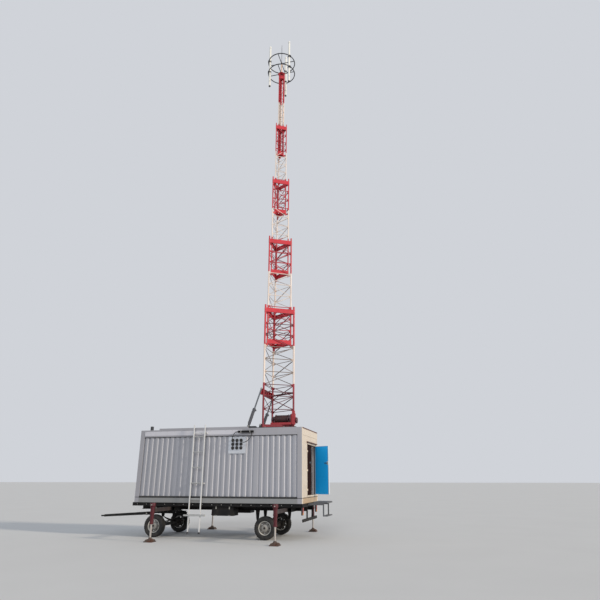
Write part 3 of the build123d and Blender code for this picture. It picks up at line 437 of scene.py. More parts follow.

# %% [markdown]
# ### Paint
# One recipe serves every painted surface: the base tone wavers a little, rain leaves faint
# vertical streaks, dust lies thicker near the ground and on faces that look up, and chips show
# the primer where the surface is worn. On the ribbed walls the troughs are painted darker as
# painted shade, and the flat faces are painted darker than the slopes between them, so the
# slopes stand out as painted highlight. The walls and frame are also painted darker towards the
# drawbar end as painted shade, and where asked, faces turned out at the door end take a lighter,
# warmer colour as painted sunlight. Each finish sets its own colours and how weathered it is.

# %% Paint
DUST, RUST, PRIMER = linear(150, 138, 122), linear(112, 62, 38), linear(120, 118, 112)
PEEL = 0.05
GROUND_DUST_TOP = 1.3
DOOR_END_FROM = 3.5
# Painted shade: its darker tone, and how much of it the troughs and the flat faces take.
SHADE_TONE, TROUGH_SHADE, FLAT_FACE_SHADE = 0.55, 0.34, 0.68
DRAWBAR_SHADE_FULL, DRAWBAR_SHADE_NONE = -2.4, 3.0


def paint(name, colour, chip_colour=RUST, streaks=0.25, dust=0.3, chips=0.0, roughness=0.42,
          sunlit_end_colour=None, troughs=None, drawbar_shade=0.0, shine=0.5):
    """Weathered paint: tone, streaks, dust low down and on ledges, chips, orange peel, and where
    asked painted shade and painted sunlight.
    """
    colour = linear(*colour)
    finish, tree, shader, place = new_finish(name, roughness)
    shader.inputs["Specular IOR Level"].default_value = shine
    axes = axes_of(tree, place)
    facing = axes_of(tree, add_node(tree, "ShaderNodeNewGeometry").outputs["Normal"])
    tone = ranged(tree, noise(tree, place, 0.9), 0.3, 0.7)
    base = mixed(tree, tone, shaded(colour, 0.94), shaded(colour, 1.04))
    # Painted sunlight: faces turned out at the door end take a lighter, warmer colour.
    if sunlit_end_colour:
        at_end = calculated(tree, "GREATER_THAN", axes[0], DOOR_END_FROM)
        turned_out = ranged(tree, facing[0], 0.4, 0.8)
        sunlit_end_share = calculated(tree, "MULTIPLY", at_end, turned_out)
        base = mixed(tree, sunlit_end_share, base, linear(*sunlit_end_colour))
    # Painted shade on ribbed walls: troughs darker, and flat faces darker than the slopes, which
    # leaves the slopes as painted highlight.
    if troughs:
        axis, deep, crest = troughs
        reach = calculated(tree, "ABSOLUTE", axes[axis])
        trough_shaded = ranged(tree, reach, deep, crest, TROUGH_SHADE, 0.0)
        base = mixed(tree, trough_shaded, base, shaded(colour, SHADE_TONE))
        flatness = calculated(tree, "ABSOLUTE", facing[axis])
        flat_face_shaded = ranged(tree, flatness, 0.75, 0.97, 0.0, FLAT_FACE_SHADE)
        base = mixed(tree, flat_face_shaded, base, shaded(colour, SHADE_TONE))
    # Painted shade: darker towards the drawbar end.
    if drawbar_shade:
        drawbar_shaded = ranged(tree, axes[0], DRAWBAR_SHADE_FULL, DRAWBAR_SHADE_NONE, drawbar_shade, 0.0)
        base = mixed(tree, drawbar_shaded, base, shaded(colour, SHADE_TONE))
    streak = ranged(tree, noise(tree, place, 1.0, 3.0, (5, 5, 0.22)), 0.55, 0.85, 0.0, streaks)
    base = mixed(tree, streak, base, shaded(mix_plain(colour, DUST, 0.5), 0.8))
    low = ranged(tree, axes[2], 0.0, GROUND_DUST_TOP, 1.0, 0.25)
    ledge = ranged(tree, facing[2], 0.3, 1.0, 0.35, 1.0)
    patch = ranged(tree, noise(tree, place, 5.0, 8.0), 0.35, 0.75)
    film = calculated(tree, "MULTIPLY", calculated(tree, "MULTIPLY", low, ledge), patch)
    base = mixed(tree, calculated(tree, "MULTIPLY", film, dust), base, DUST)
    if chips:
        worn = noise(tree, place, 42.0, 8.0, rough=0.62)
        chip = ranged(tree, worn, 0.74 - chips * 0.1, 0.76 - chips * 0.1)
        base = mixed(tree, chip, base, chip_colour)
    gloss = ranged(tree, noise(tree, place, 7.0), 0.3, 0.7, roughness - 0.06, roughness + 0.12)
    coat(tree, shader, base, gloss)
    bumped(tree, shader, noise(tree, place, 160.0, 3.0), PEEL, 0.002)
    return finish


def mix_plain(first, second, share):
    """Two colours mixed as plain numbers."""
    return tuple(a * (1 - share) + b * share for a, b in zip(first, second))


# The white paint as it looks in warm sunlight at the door end: painted light.
SUNLIT_CREAM, SUNLIT_TAN = (212, 199, 182), (184, 160, 130)
# The walls and frame are painted greyer and darker than their white paint, partly as painted
# shade.
side_white_shaded = paint(
    "side_white_shaded", (194, 193, 198), PRIMER, streaks=0.3, dust=0.35,
    troughs=(1, 1.171, 1.204), drawbar_shade=0.6,
)
end_white_shaded = paint(
    "end_white_shaded", (190, 191, 196), PRIMER, streaks=0.25, dust=0.35, troughs=(0, 2.286, 2.319),
)
frame_white_shaded = paint(
    "frame_white_shaded", (162, 160, 164), PRIMER, streaks=0.3, dust=0.4, chips=0.25,
    sunlit_end_colour=SUNLIT_CREAM, drawbar_shade=0.3,
)
sill_grey = paint(
    "sill_grey", (140, 140, 139), streaks=0.4, dust=0.5, chips=0.4, sunlit_end_colour=SUNLIT_TAN,
    drawbar_shade=0.3,
)
fascia_white_lit = paint("fascia_white_lit", (206, 203, 207), PRIMER, streaks=0.2, dust=0.25, drawbar_shade=0.25)
roof_white = paint("roof_white", (184, 186, 190), PRIMER, streaks=0.1, dust=0.5)
door_end_sunlit_cream = paint("door_end_sunlit_cream", SUNLIT_CREAM, PRIMER, streaks=0.2, dust=0.3)
door_brown = paint("door_brown", (34, 14, 10), streaks=0.1, dust=0.02, roughness=0.85, shine=0.1)
door_blue = paint("door_blue", (28, 178, 254), PRIMER, streaks=0.12, dust=0.1)
edge_pale = paint("edge_pale", (196, 206, 214), PRIMER, streaks=0.1, dust=0.12)
jamb_white = paint("jamb_white", (250, 236, 230), PRIMER, streaks=0.1, dust=0.2)
hood_brown = paint("hood_brown", (90, 50, 36), dust=0.2, chips=0.4)
# The chassis black is partly its own black paint and partly painted shade of the underside.
chassis_black_and_shade = paint(
    "chassis_black_and_shade", (17, 17, 18), dust=0.25, chips=0.5, roughness=0.55, shine=0.2,
)
axle_dark = paint("axle_dark", (34, 32, 32), dust=0.5, chips=0.8, roughness=0.6, shine=0.25)
roof_steel = paint("roof_steel", (52, 53, 57), dust=0.3, chips=0.6, roughness=0.5)
arm_black = paint("arm_black", (46, 38, 40), dust=0.45, chips=0.6, roughness=0.5)
# The jack tubes' red is painted dark as painted shade.
jack_red_shaded = paint("jack_red_shaded", (76, 18, 29), dust=0.25, chips=0.6, shine=0.3)
winch_red = paint("winch_red", (166, 42, 50), dust=0.3, chips=0.5)
drum_maroon = paint("drum_maroon", (76, 30, 38), dust=0.15, chips=0.5)
barrel_grey = paint("barrel_grey", (80, 80, 86), dust=0.25, chips=0.3)
ladder_grey = paint("ladder_grey", (206, 205, 204), dust=0.3, chips=0.5)
rung_grey = paint("rung_grey", (168, 168, 166), dust=0.35, chips=0.8)
rim_grey = paint("rim_grey", (196, 192, 184), dust=0.5, chips=0.5)
disc_grey = paint("disc_grey", (104, 100, 95), dust=0.5, chips=0.6)
hub_grey = paint("hub_grey", (148, 144, 138), dust=0.5, chips=0.5)
plate_grey = paint("plate_grey", (196, 198, 203), PRIMER, dust=0.2)
lamp_housing = paint("lamp_housing", (40, 40, 43), dust=0.4)
step_steel = paint("step_steel", (84, 86, 90), dust=0.45, chips=0.6, roughness=0.55)
head_steel = paint("head_steel", (46, 49, 54), dust=0.1, chips=0.4)
pole_cream = paint("pole_cream", (226, 190, 160), dust=0.1, chips=0.5)
print("paints:", len(bpy.data.materials))

# %% [markdown]
# ### The mast's red and white bands
# The mast is one steel lattice painted in bands: the top of each section and the foot of the next
# are red, and the stretch between is creamy white. The bands are set by height on the piece, so
# each section takes its own heights and keeps its bands when it slides or tilts. The brush line at
# the edge of a band wavers a few millimetres. The red is painted darker and more maroon towards
# the foot, as painted shade. The thin bracing angles are painted darker than the legs in both
# bands, and darkest at the foot of the mast, as painted shade, so they have their own colours.

# %% Banded paint
LEG_COLOURS = (linear(196, 42, 54), linear(232, 214, 200))
# Bracing colours: the leg colours painted darker as painted shade, darkest on the first section.
SHADED_BRACE_COLOURS = (linear(170, 44, 56), linear(218, 204, 192))
SHADED_FOOT_BRACE_COLOURS = (linear(88, 24, 38), linear(126, 112, 104))
SHADED_FOOT_RED = linear(84, 18, 34)
LEG_STAIN = linear(120, 92, 78)
FOOT_SHADE_FULL, FOOT_SHADE_NONE = 4.6, 6.2
BRUSH_WAVER = 0.006


def banded_paint(name, red_spans, colours):
    """The first colour where the height lies in one of the spans, the second elsewhere, worn."""
    finish, tree, shader, place = new_finish(name, 0.42)
    height = axes_of(tree, place)[2]
    waver = ranged(tree, noise(tree, place, 24.0), 0.0, 1.0, -BRUSH_WAVER, BRUSH_WAVER)
    height = calculated(tree, "ADD", height, waver)
    red = 0.0
    for low, high in red_spans:
        inside = calculated(
            tree, "MULTIPLY", calculated(tree, "GREATER_THAN", height, low),
            calculated(tree, "LESS_THAN", height, high),
        )
        red = calculated(tree, "MAXIMUM", red, inside)
    tone = ranged(tree, noise(tree, place, 1.7), 0.3, 0.7)
    red_tone = mixed(tree, tone, shaded(colours[0], 0.85), shaded(colours[0], 1.1))
    white_tone = mixed(tree, tone, shaded(colours[1], 0.9), shaded(colours[1], 1.04))
    # Painted shade: the red turns darker and more maroon towards the foot.
    foot_shade = ranged(tree, height, FOOT_SHADE_FULL, FOOT_SHADE_NONE, 0.74, 0.0)
    red_tone = mixed(tree, foot_shade, red_tone, SHADED_FOOT_RED)
    base = mixed(tree, red, white_tone, red_tone)
    grime = ranged(tree, noise(tree, place, 1.0, 6.0, (14, 14, 0.8)), 0.5, 0.8, 0.0, 0.4)
    base = mixed(tree, grime, base, LEG_STAIN)
    chip = ranged(tree, noise(tree, place, 46.0, 8.0, rough=0.62), 0.69, 0.71)
    base = mixed(tree, chip, base, RUST)
    coat(tree, shader, base, ranged(tree, noise(tree, place, 9.0), 0.3, 0.7, 0.34, 0.55))
    bumped(tree, shader, noise(tree, place, 150.0, 3.0), 0.06, 0.002)
    return finish


def from_underside(*spans):
    """Heights above the shelter's underside as heights above the ground."""
    return [(low + SHELTER_Z0, high + SHELTER_Z0) for low, high in spans]


SECTION_RED = [
    from_underside((2.3, 4.13), (5.59, 7.4)),
    from_underside((5.4, 7.18), (8.61, 10.4)),
    from_underside((8.3, 10.19), (11.53, 13.3)),
    from_underside((11.1, 13.08), (14.43, 16.2)),
    from_underside((14.1, 15.96), (17.19, 19.2)),
]
section_paint, shaded_brace_paint = [], []
for number, spans in enumerate(SECTION_RED, 1):
    section_paint.append(banded_paint("section_%d_paint" % number, spans, LEG_COLOURS))
    colours = SHADED_FOOT_BRACE_COLOURS if number == 1 else SHADED_BRACE_COLOURS
    shaded_brace_paint.append(banded_paint("section_%d_brace_paint" % number, spans, colours))
print("banded paints:", len(section_paint) + len(shaded_brace_paint))

# %% [markdown]
# ### Steel, rubber, plastic and wood
# Bare and plated steel have fine lines along the way they were worked. Rubber is dull, with dust
# in its grain. The floor board is brown film-faced wood, and the antenna tubes are pale plastic
# that has yellowed a little.

# %% Other finishes
def bare_steel(name, colour, roughness, metallic=1.0, lines=(60, 60, 2), wear=0.0):
    """Worked metal: fine stretched lines in its gloss and tone, with some dull patches."""
    colour = linear(*colour)
    finish, tree, shader, place = new_finish(name, roughness, metallic)
    line = noise(tree, place, 3.0, 5.0, lines)
    patch = ranged(tree, noise(tree, place, 6.0), 0.4, 0.7)
    base = mixed(tree, ranged(tree, line, 0.3, 0.7), shaded(colour, 0.86), shaded(colour, 1.06))
    base = mixed(tree, calculated(tree, "MULTIPLY", patch, wear), base, RUST)
    coat(tree, shader, base, ranged(tree, patch, 0.0, 1.0, roughness, roughness + 0.15))
    bumped(tree, shader, line, 0.08, 0.001)
    return finish


def rubber(name, colour, roughness=0.8, grain=90.0, dust=0.5):
    """Dull rubber with a fine grain and pale dust in patches."""
    colour = linear(*colour)
    finish, tree, shader, place = new_finish(name, roughness)
    patch = ranged(tree, noise(tree, place, 9.0, 8.0), 0.4, 0.8, 0.0, dust)
    base = mixed(tree, patch, colour, mix_plain(colour, DUST, 0.45))
    coat(tree, shader, base)
    bumped(tree, shader, noise(tree, place, grain, 4.0), 0.25, 0.002)
    return finish


def plastic(name, colour, roughness, tint, stain=0.15):
    """Moulded plastic whose tone drifts towards a tint, with a faint stipple."""
    finish, tree, shader, place = new_finish(name, roughness)
    drift = ranged(tree, noise(tree, place, 2.2), 0.3, 0.7, 0.0, stain)
    gloss = ranged(tree, noise(tree, place, 14.0), 0.3, 0.7, roughness - 0.05, roughness + 0.1)
    coat(tree, shader, mixed(tree, drift, linear(*colour), linear(*tint)), gloss)
    bumped(tree, shader, noise(tree, place, 220.0, 2.0), 0.05, 0.001)
    return finish


def board(name, colour):
    """Wood: long grain along X with rings of a darker tone."""
    colour = linear(*colour)
    finish, tree, shader, place = new_finish(name, 0.6)
    grain = noise(tree, place, 4.0, 8.0, (1, 14, 14))
    base = mixed(tree, ranged(tree, grain, 0.3, 0.7), shaded(colour, 0.7), shaded(colour, 1.15))
    coat(tree, shader, base)
    bumped(tree, shader, grain, 0.2, 0.002)
    return finish


chrome_rod = bare_steel("chrome_rod", (134, 138, 142), 0.24)
jack_steel = bare_steel("jack_steel", (198, 192, 186), 0.35, wear=0.25)
wire_rope = bare_steel("wire_rope", (72, 52, 54), 0.5, 0.5, lines=(2, 120, 120), wear=0.2)
zinc_bolt = bare_steel("zinc_bolt", (176, 174, 166), 0.4, lines=(30, 30, 30), wear=0.15)
foot_steel = bare_steel("foot_steel", (92, 84, 78), 0.6, 0.6, wear=0.6)
tyre_black = rubber("tyre_black", (24, 24, 25), dust=0.28)
port_black = rubber("port_black", (24, 24, 26), 0.7, dust=0.25)
cable_black = rubber("cable_black", (22, 22, 24), 0.5, dust=0.2)
antenna_white = plastic("antenna_white", (234, 231, 222), 0.32, (196, 182, 150))
cap_black = plastic("cap_black", (36, 36, 38), 0.45, (90, 86, 80))
lens_red = plastic("lens_red", (176, 52, 44), 0.15, (120, 30, 26), 0.4)
lens_amber = plastic("lens_amber", (222, 138, 44), 0.15, (170, 96, 30), 0.4)
gasket_black = rubber("gasket_black", (28, 28, 30), 0.7, dust=0.3)
floor_board = board("floor_board", (122, 96, 72))
print("finishes:", len(bpy.data.materials))

feeder_cable("feeder_cable_a", TOP_CABLE_ROUTE, "feeder_cable_top", cable_black)
feeder_cable("feeder_cable_b", SIDE_CABLE_ROUTE, "feeder_cable_side", cable_black)

# %% [markdown]
# ## The shelter's ribbed walls
# The walls are sheet steel pressed into upright ribs and welded into a frame of posts and rails.
# A press can't fold a dead sharp corner, so every corner of the rib line is a small curve. The
# line is worked out once along the wall, and the wall is that line carried up from rail to rail,
# with a flat lining behind it. One smooth band without ribs stands between two groups of ribs.

# %% Rib line
SHELTER_LENGTH, SHELTER_HEIGHT = 6.058, 2.438
HALF_WIDTH = 1.219
POST_X, POST_Y = 0.16, 0.15
WALL_LOW, WALL_HIGH = 0.19, 2.19
WALL_RECESS, RIB_DEPTH, LINING_DEPTH = 0.01, 0.036, 0.1
RIB_PITCH, RIB_CREST, RIB_SLOPE, RIB_ROUND = 0.2, 0.074, 0.032, 0.009
BAND_X0, BAND_X1, BAND_STEP = 4.358, 4.528, 0.004


def mirrored(shape):
    """A shape reflected in the middle plane: y changes sign and each face runs the other way."""
    return shape[0] * (1, -1, 1), [block[:, ::-1] for block in shape[1]]


def rounded(points, reach, steps=4):
    """Corners become curves: (1-t)^2 before + 2t(1-t) corner + t^2 after, a reach to each side."""
    points = np.asarray(points, float)
    before = points[1:-1] + unit(points[:-2] - points[1:-1]) * reach
    after = points[1:-1] + unit(points[2:] - points[1:-1]) * reach
    share = np.linspace(0, 1, steps)[:, None, None]
    curve = before * (1 - share) ** 2 + points[1:-1] * 2 * share * (1 - share) + after * share ** 2
    middle = curve.transpose(1, 0, 2).reshape(-1, points.shape[1])
    return np.concatenate([points[:1], middle, points[-1:]])


def rib_corners(start, length):
    """Corners of even ribs along a length: each rib's four corners are its start plus offsets."""
    count = round(length / RIB_PITCH)
    pitch = length / count
    first = start + (pitch - RIB_CREST - 2 * RIB_SLOPE) / 2 + np.arange(count)[:, None] * pitch
    along = first + (0, RIB_SLOPE, RIB_SLOPE + RIB_CREST, 2 * RIB_SLOPE + RIB_CREST)
    depth = np.broadcast_to((RIB_DEPTH, 0, 0, RIB_DEPTH), along.shape)
    return np.stack([along, depth], axis=-1).reshape(-1, 2)


def ribbed_sheet(line, across, origin, inward):
    """A rib line of (along, depth) carried up the wall, closed by the flat lining behind it."""
    along, depth = line[:, 0, None], line[:, 1, None]
    outer = np.asarray(origin) + along * np.asarray(across) + depth * np.asarray(inward)
    inner = outer + (LINING_DEPTH - depth) * np.asarray(inward)
    low, high = (0, 0, WALL_LOW), (0, 0, WALL_HIGH)
    points = np.stack([outer + low, outer + high, inner + high, inner + low], axis=1)
    count = len(line)
    walls = grid_faces(count, 4, wrap_columns=True)
    ring = np.arange(4)[None]
    return points.reshape(-1, 3), [walls, ring, (count - 1) * 4 + ring[:, ::-1]]


long_line = np.concatenate([
    [(POST_X, RIB_DEPTH)], rib_corners(POST_X, BAND_X0 - POST_X),
    [(BAND_X0 - BAND_STEP, RIB_DEPTH), (BAND_X0 + BAND_STEP, 0)],
    [(BAND_X1 - BAND_STEP, 0), (BAND_X1 + BAND_STEP, RIB_DEPTH)],
    rib_corners(BAND_X1, SHELTER_LENGTH - POST_X - BAND_X1),
    [(SHELTER_LENGTH - POST_X, RIB_DEPTH)],
])
end_half = HALF_WIDTH - POST_Y
end_line = np.concatenate([
    [(-end_half, RIB_DEPTH)], rib_corners(-end_half, 2 * end_half), [(end_half, RIB_DEPTH)],
])
wall_shape = ribbed_sheet(
    rounded(long_line, RIB_ROUND / 2.5), ALONG, SHELTER + (0, WALL_RECESS - HALF_WIDTH, 0),
    SIDEWAYS,
)
end_shape = ribbed_sheet(
    rounded(end_line, RIB_ROUND), (0, -1, 0), SHELTER + (WALL_RECESS, 0, 0), ALONG,
)
for name, shape, finish, node in (
    ("wall_near", wall_shape, side_white_shaded, "near_wall"),
    ("wall_far", mirrored(wall_shape), side_white_shaded, "far_wall"),
    ("wall_drawbar_end", end_shape, end_white_shaded, "drawbar_end_wall"),
):
    piece(name, shape, TRAILER, "shelter_paint", finish, [node])
print("rib line:", len(long_line), "corners along", SHELTER_LENGTH, "m")

# %% [markdown]
# ## Posts, rails, roof and floor
# These solids already have the right shape, so they stay and get paint and softly folded edges.
# What they lack is the small work of a welded box: a dark strip where the wall meets each rail,
# partly sealing bead and partly painted shadow of the recess, thin dark strips along the sill as
# painted shadow, a riveted fascia strip on the top rail painted lighter than the rail as painted
# light, a brown drip edge over the doorway, weld seams on the roof sheets, and swages pressed
# into the roof so that rain runs off.

# %% Frame and roof of the shelter
for node, finish, edge in (
    ("corner_posts", frame_white_shaded, 0.006), ("bottom_rails", sill_grey, 0.006),
    ("top_rails", frame_white_shaded, 0.006), ("roof", roof_white, 0.0),
    ("roof_coaming", frame_white_shaded, 0.002), ("floor", floor_board, 0.0),
):
    dress(node, finish, edge)


def span(starts, ends, width, height):
    """Square bars between places of the shelter: a rectangle carried from start to end."""
    outline = rectangle(width, height)
    return bars(np.atleast_2d(starts) + SHELTER, np.atleast_2d(ends) + SHELTER, outline)


# Dark strips: where the wall meets the rails, partly sealing bead and partly painted shadow of the
# recess; along the sill, across the posts and across the door end, painted shadow lines.
SILL_SHADOW_Z = 0.17
bead_y = HALF_WIDTH - WALL_RECESS + 0.003
bead_rows = [(side * bead_y, z) for side in (-1, 1) for z in (WALL_LOW + 0.01, WALL_HIGH - 0.006)]
rail_end, face_x = SHELTER_LENGTH - POST_X, WALL_RECESS - 0.003
beads_and_shadow_lines = [
    span([(POST_X, *row) for row in bead_rows], [(rail_end, *row) for row in bead_rows],
         0.012, 0.022),
    span([(face_x, -end_half, z) for y, z in bead_rows[:2]],
         [(face_x, end_half, z) for y, z in bead_rows[:2]], 0.012, 0.022),
    span((SHELTER_LENGTH, -HALF_WIDTH, SILL_SHADOW_Z), (SHELTER_LENGTH, HALF_WIDTH, SILL_SHADOW_Z),
         0.004, 0.016),
    span([(POST_X, side * HALF_WIDTH, SILL_SHADOW_Z) for side in (-1, 1)],
         [(rail_end, side * HALF_WIDTH, SILL_SHADOW_Z) for side in (-1, 1)], 0.005, 0.034),
    span([(x, y, SILL_SHADOW_Z) for x in (0.0, rail_end) for y in (-HALF_WIDTH, HALF_WIDTH)],
         [(x, y, SILL_SHADOW_Z) for x in (POST_X, SHELTER_LENGTH) for y in (-HALF_WIDTH, HALF_WIDTH)],
         0.004, 0.016),
]
piece("sealing_beads_and_shadow_lines", beads_and_shadow_lines, TRAILER, "port_rubber", gasket_black)
drip_low = at(SHELTER_LENGTH - 0.002, 0.09 - HALF_WIDTH, SHELTER_HEIGHT - 0.034)
drip_high = at(SHELTER_LENGTH + 0.007, HALF_WIDTH - 0.03, SHELTER_HEIGHT + 0.004)
drip_edge = boxes(drip_low, drip_high)
piece("roof_drip_edge", drip_edge, TRAILER, "brown_paint", hood_brown, bevel=0.002)

# The fascia strip is painted lighter than the rail it sits on: painted light.
FASCIA_X0, FASCIA_X1, FASCIA_Z0, FASCIA_Z1 = 0.168, 3.9, 2.238, 2.388
fascia_low = at(FASCIA_X0, -HALF_WIDTH - 0.006, FASCIA_Z0)
fascia_high = at(FASCIA_X1, -HALF_WIDTH + 0.004, FASCIA_Z1)
fascia = boxes([fascia_low, fascia_low * (1, -1, 1) - (0, 0.01, 0)],
               [fascia_high, fascia_high * (1, -1, 1) + (0, 0.01, 0)])
piece("fascia_strips", fascia, TRAILER, "shelter_paint", fascia_white_lit, bevel=0.002)
fascia_bolt_x = np.linspace(FASCIA_X0 + 0.06, FASCIA_X1 - 0.06, 14)
fascia_bolts = at(fascia_bolt_x, -HALF_WIDTH - 0.006, FASCIA_Z1 - 0.02)
zinc_piece("fascia_rivets", [
    heads(fascia_bolts * (1, -side, 1), (0, side, 0), 0.012, 0.004, 8) for side in (-1, 1)
])

swage_x = np.arange(0.42, 3.75, 0.3)
swage = np.array([(-0.055, 0), (0.055, 0), (0.03, 0.007), (-0.03, 0.007)])
swage_ends = at(swage_x, 0.93, SHELTER_HEIGHT)
roof_swages = bars(swage_ends * (1, -1, 1), swage_ends, swage)
seam_x = np.array((1.47, 2.97))
seam_ends = at(seam_x, 1.1, SHELTER_HEIGHT)
roof_seams = bars(seam_ends * (1, -1, 1), seam_ends, circle(0.005, 8))
piece("roof_swages", [roof_swages, roof_seams], TRAILER, "shelter_paint", roof_white)
print("roof swages:", len(swage_x))

# %% [markdown]
# ## The mast's lattice sections
# Each section is a triangle of three round legs. Between its head ring and foot ring, level and
# slanted bars brace each flat side. The solid model has these as flat bars. Here they are rolled
# angles, the rings are folded channels with gusset plates, and the guide blocks that keep one
# section centred in the next carry dark wear pads.

# %% Places on a mast section
MAST_X = 4.78
SECTION_SIDE = (1.14, 0.915, 0.69, 0.465, 0.24)
SECTION_LEG = (0.035, 0.03, 0.025, 0.021, 0.017)
SECTION_BAR = (0.034, 0.03, 0.026, 0.022, 0.016)
SECTION_BOTTOM = (2.5, 5.55, 8.48, 11.3, 14.25)
SECTION_TOP = (7.18, 10.19, 13.08, 15.96, 18.9)
SECTION_PANELS = (0, 9, 10, 11, 13)
FIRST_LEVELS = (2.56, 3.17, 3.65, 4.07, 4.55, 5.04, 5.51, 5.99, 6.42, 6.965)
RING_HEIGHT, RING_DEPTH = 0.17, 0.05
LEG_AZIMUTHS, SIDE_AZIMUTHS = (0, 120, 240), (60, 180, 300)
FLANGE_WIDTH = 0.07


def round_mast(radius, azimuth, height):
    """A place round the mast's axis: radius times (cos, sin) of the azimuth, and its height."""
    turn = np.radians(azimuth)
    return at(MAST_X + radius * np.cos(turn), radius * np.sin(turn), height)


def on_side(index, azimuth, across, height, proud=0.0):
    """A place in one flat side of a section: so far across from its middle, at a height."""
    turn = math.radians(azimuth)
    reach = SECTION_SIDE[index] / (2 * math.sqrt(3)) + SECTION_LEG[index] * 0.3 + proud
    x = MAST_X + reach * math.cos(turn) - np.asarray(across) * math.sin(turn)
    y = reach * math.sin(turn) + np.asarray(across) * math.cos(turn)
    return at(x, y, height)


def outward(azimuth):
    """The level direction straight out of a side."""
    return (math.cos(math.radians(azimuth)), math.sin(math.radians(azimuth)), 0)


def side_ends(index, azimuth, across, height):
    """Places on both edges of a side: so far to the left and to the right of its middle."""
    return [on_side(index, azimuth, side * across, height) for side in (-1, 1)]


def section_levels(index):
    """Heights of the level bars: given for the first section, evenly spaced in the others."""
    if index == 0:
        return np.array(FIRST_LEVELS)
    low = SECTION_BOTTOM[index] + 0.09 + RING_HEIGHT / 2
    high = SECTION_TOP[index] - 0.13 - RING_HEIGHT / 2
    return np.linspace(low, high, SECTION_PANELS[index] + 1)


print("panels:", [len(section_levels(index)) - 1 for index in range(5)])

# %% Lattice of a section
def legs_of(index):
    """The three legs as round tubes, with a closed cap on each head."""
    radius = SECTION_SIDE[index] / math.sqrt(3)
    foot = round_mast(radius, np.array(LEG_AZIMUTHS), SECTION_BOTTOM[index])
    head = foot + (0, 0, SECTION_TOP[index] - SECTION_BOTTOM[index])
    return bars(foot, head, circle(SECTION_LEG[index], 16), ALONG)


def leg_flanges(index):
    """Flat strips welded along both sides of each leg; only the slim last section has them."""
    across = SECTION_SIDE[index] / 2 - SECTION_LEG[index] - FLANGE_WIDTH / 2 + 0.004
    levels = np.array((SECTION_BOTTOM[index], SECTION_TOP[index]))
    shapes = []
    for azimuth in SIDE_AZIMUTHS:
        for low, high in side_ends(index, azimuth, across, levels):
            ends = (low + (0, 0, 0.03), high - (0, 0, 0.03))
            shapes.append(bars(*ends, rectangle(0.004, FLANGE_WIDTH), outward(azimuth)))
    return joined(*shapes)


def lattice(index):
    """Level and slanted bars as small angles; the slant changes hand panel by panel.

    The first section's lowest panel stays open and its second one is crossed."""
    half, flange = SECTION_SIDE[index] / 2, SECTION_BAR[index] * (0.75 if index else 0.68)
    thickness = 0.003 + 0.05 * flange
    outline = (angle_iron(flange, thickness) * (1, -1))[::-1] + (-flange / 2, flange * 0.75)
    levels = section_levels(index)
    low, high = levels[:-1], levels[1:]
    slant = np.where(np.arange(len(low)) % 2, 1, -1) * half
    shown = np.arange(len(low)) > (-1 if index else 0)
    crossed = np.arange(len(low)) == (-1 if index else 1)
    shapes = []
    for azimuth in SIDE_AZIMUTHS:
        for starts, ends in (
            side_ends(index, azimuth, half, levels[1:-1]),
            [on_side(index, azimuth, *end) for end in (
                (-slant[shown], low[shown]), (slant[shown], high[shown]))],
            [on_side(index, azimuth, *end) for end in (
                (slant[crossed], low[crossed]), (-slant[crossed], high[crossed]))],
        ):
            if len(starts):
                shapes.append(bars(starts, ends, outline, outward(azimuth)))
    return joined(*shapes)


def rings(index):
    """Channel rings at head and foot, with a sleeve on each leg."""
    half, leg = SECTION_SIDE[index] / 2, SECTION_LEG[index]
    depth = RING_DEPTH * (leg + 0.01) / 0.045
    levels = section_levels(index)
    shapes = []
    for level in (levels[0], levels[-1]):
        height = 0.12 if index == 0 and level == levels[0] else RING_HEIGHT
        for azimuth in SIDE_AZIMUTHS:
            ends = side_ends(index, azimuth, half, level)
            shapes.append(bars(*ends, channel(depth, height, 0.008)))
        legs = round_mast(SECTION_SIDE[index] / math.sqrt(3), np.array(LEG_AZIMUTHS), level)
        rise = np.array((0, 0, height / 2))
        shapes.append(bars(legs - rise, legs + rise, circle(leg + 0.005, 16), ALONG))
    return joined(*shapes)


def gussets(index):
    """A small plate in each corner where a level bar meets a leg."""
    half, bar = SECTION_SIDE[index] / 2, SECTION_BAR[index]
    size = bar * 1.9
    shapes = []
    for azimuth in SIDE_AZIMUTHS:
        for side in (-1, 1):
            across = side * (half - SECTION_LEG[index] - size * 0.35)
            middle = on_side(index, azimuth, across, section_levels(index)[1:-1])
            out = on_side(index, azimuth, across, section_levels(index)[1:-1], 0.003)
            shapes.append(bars(middle * 2 - out, out, rectangle(size, size * 1.3)))
    return joined(*shapes)


def guide_arms(index):
    """Arms from the legs: inward at the head to the next section, outward at the foot."""
    legs = np.array(LEG_AZIMUTHS)
    radius = SECTION_SIDE[index] / math.sqrt(3)
    leg, levels = SECTION_LEG[index], section_levels(index)
    arms, pads = [], []
    if index < 4:
        inner = SECTION_SIDE[index + 1] / math.sqrt(3) + SECTION_LEG[index + 1] + 0.0003
        leg_end, pad_end, tip = (
            round_mast(reach, legs, levels[-1]) for reach in (radius, inner + 0.012, inner))
        arms.append(bars(leg_end, pad_end, rectangle(0.034, 0.1)))
        pads.append(bars(pad_end, tip, rectangle(0.04, 0.12)))
    if index > 0:
        outer = SECTION_SIDE[index - 1] / math.sqrt(3) - SECTION_LEG[index - 1] - 0.006
        height = SECTION_BOTTOM[index] + 0.06
        leg_end, pad_end, tip = (
            round_mast(reach, legs, height) for reach in (radius, outer - 0.01, outer))
        arms.append(bars(leg_end, pad_end, rectangle(0.018, 0.07)))
        pads.append(bars(pad_end, tip, rectangle(0.02, 0.08)))
    return arms, pads


print("lattice makers ready")

# %% [markdown]
# ### The foot of the mast
# The lowest section stands on two tilt lugs. A deep red cross beam takes the two cylinder rods,
# and two bearers inside the foot carry the winch. They are part of the section's own weldment.

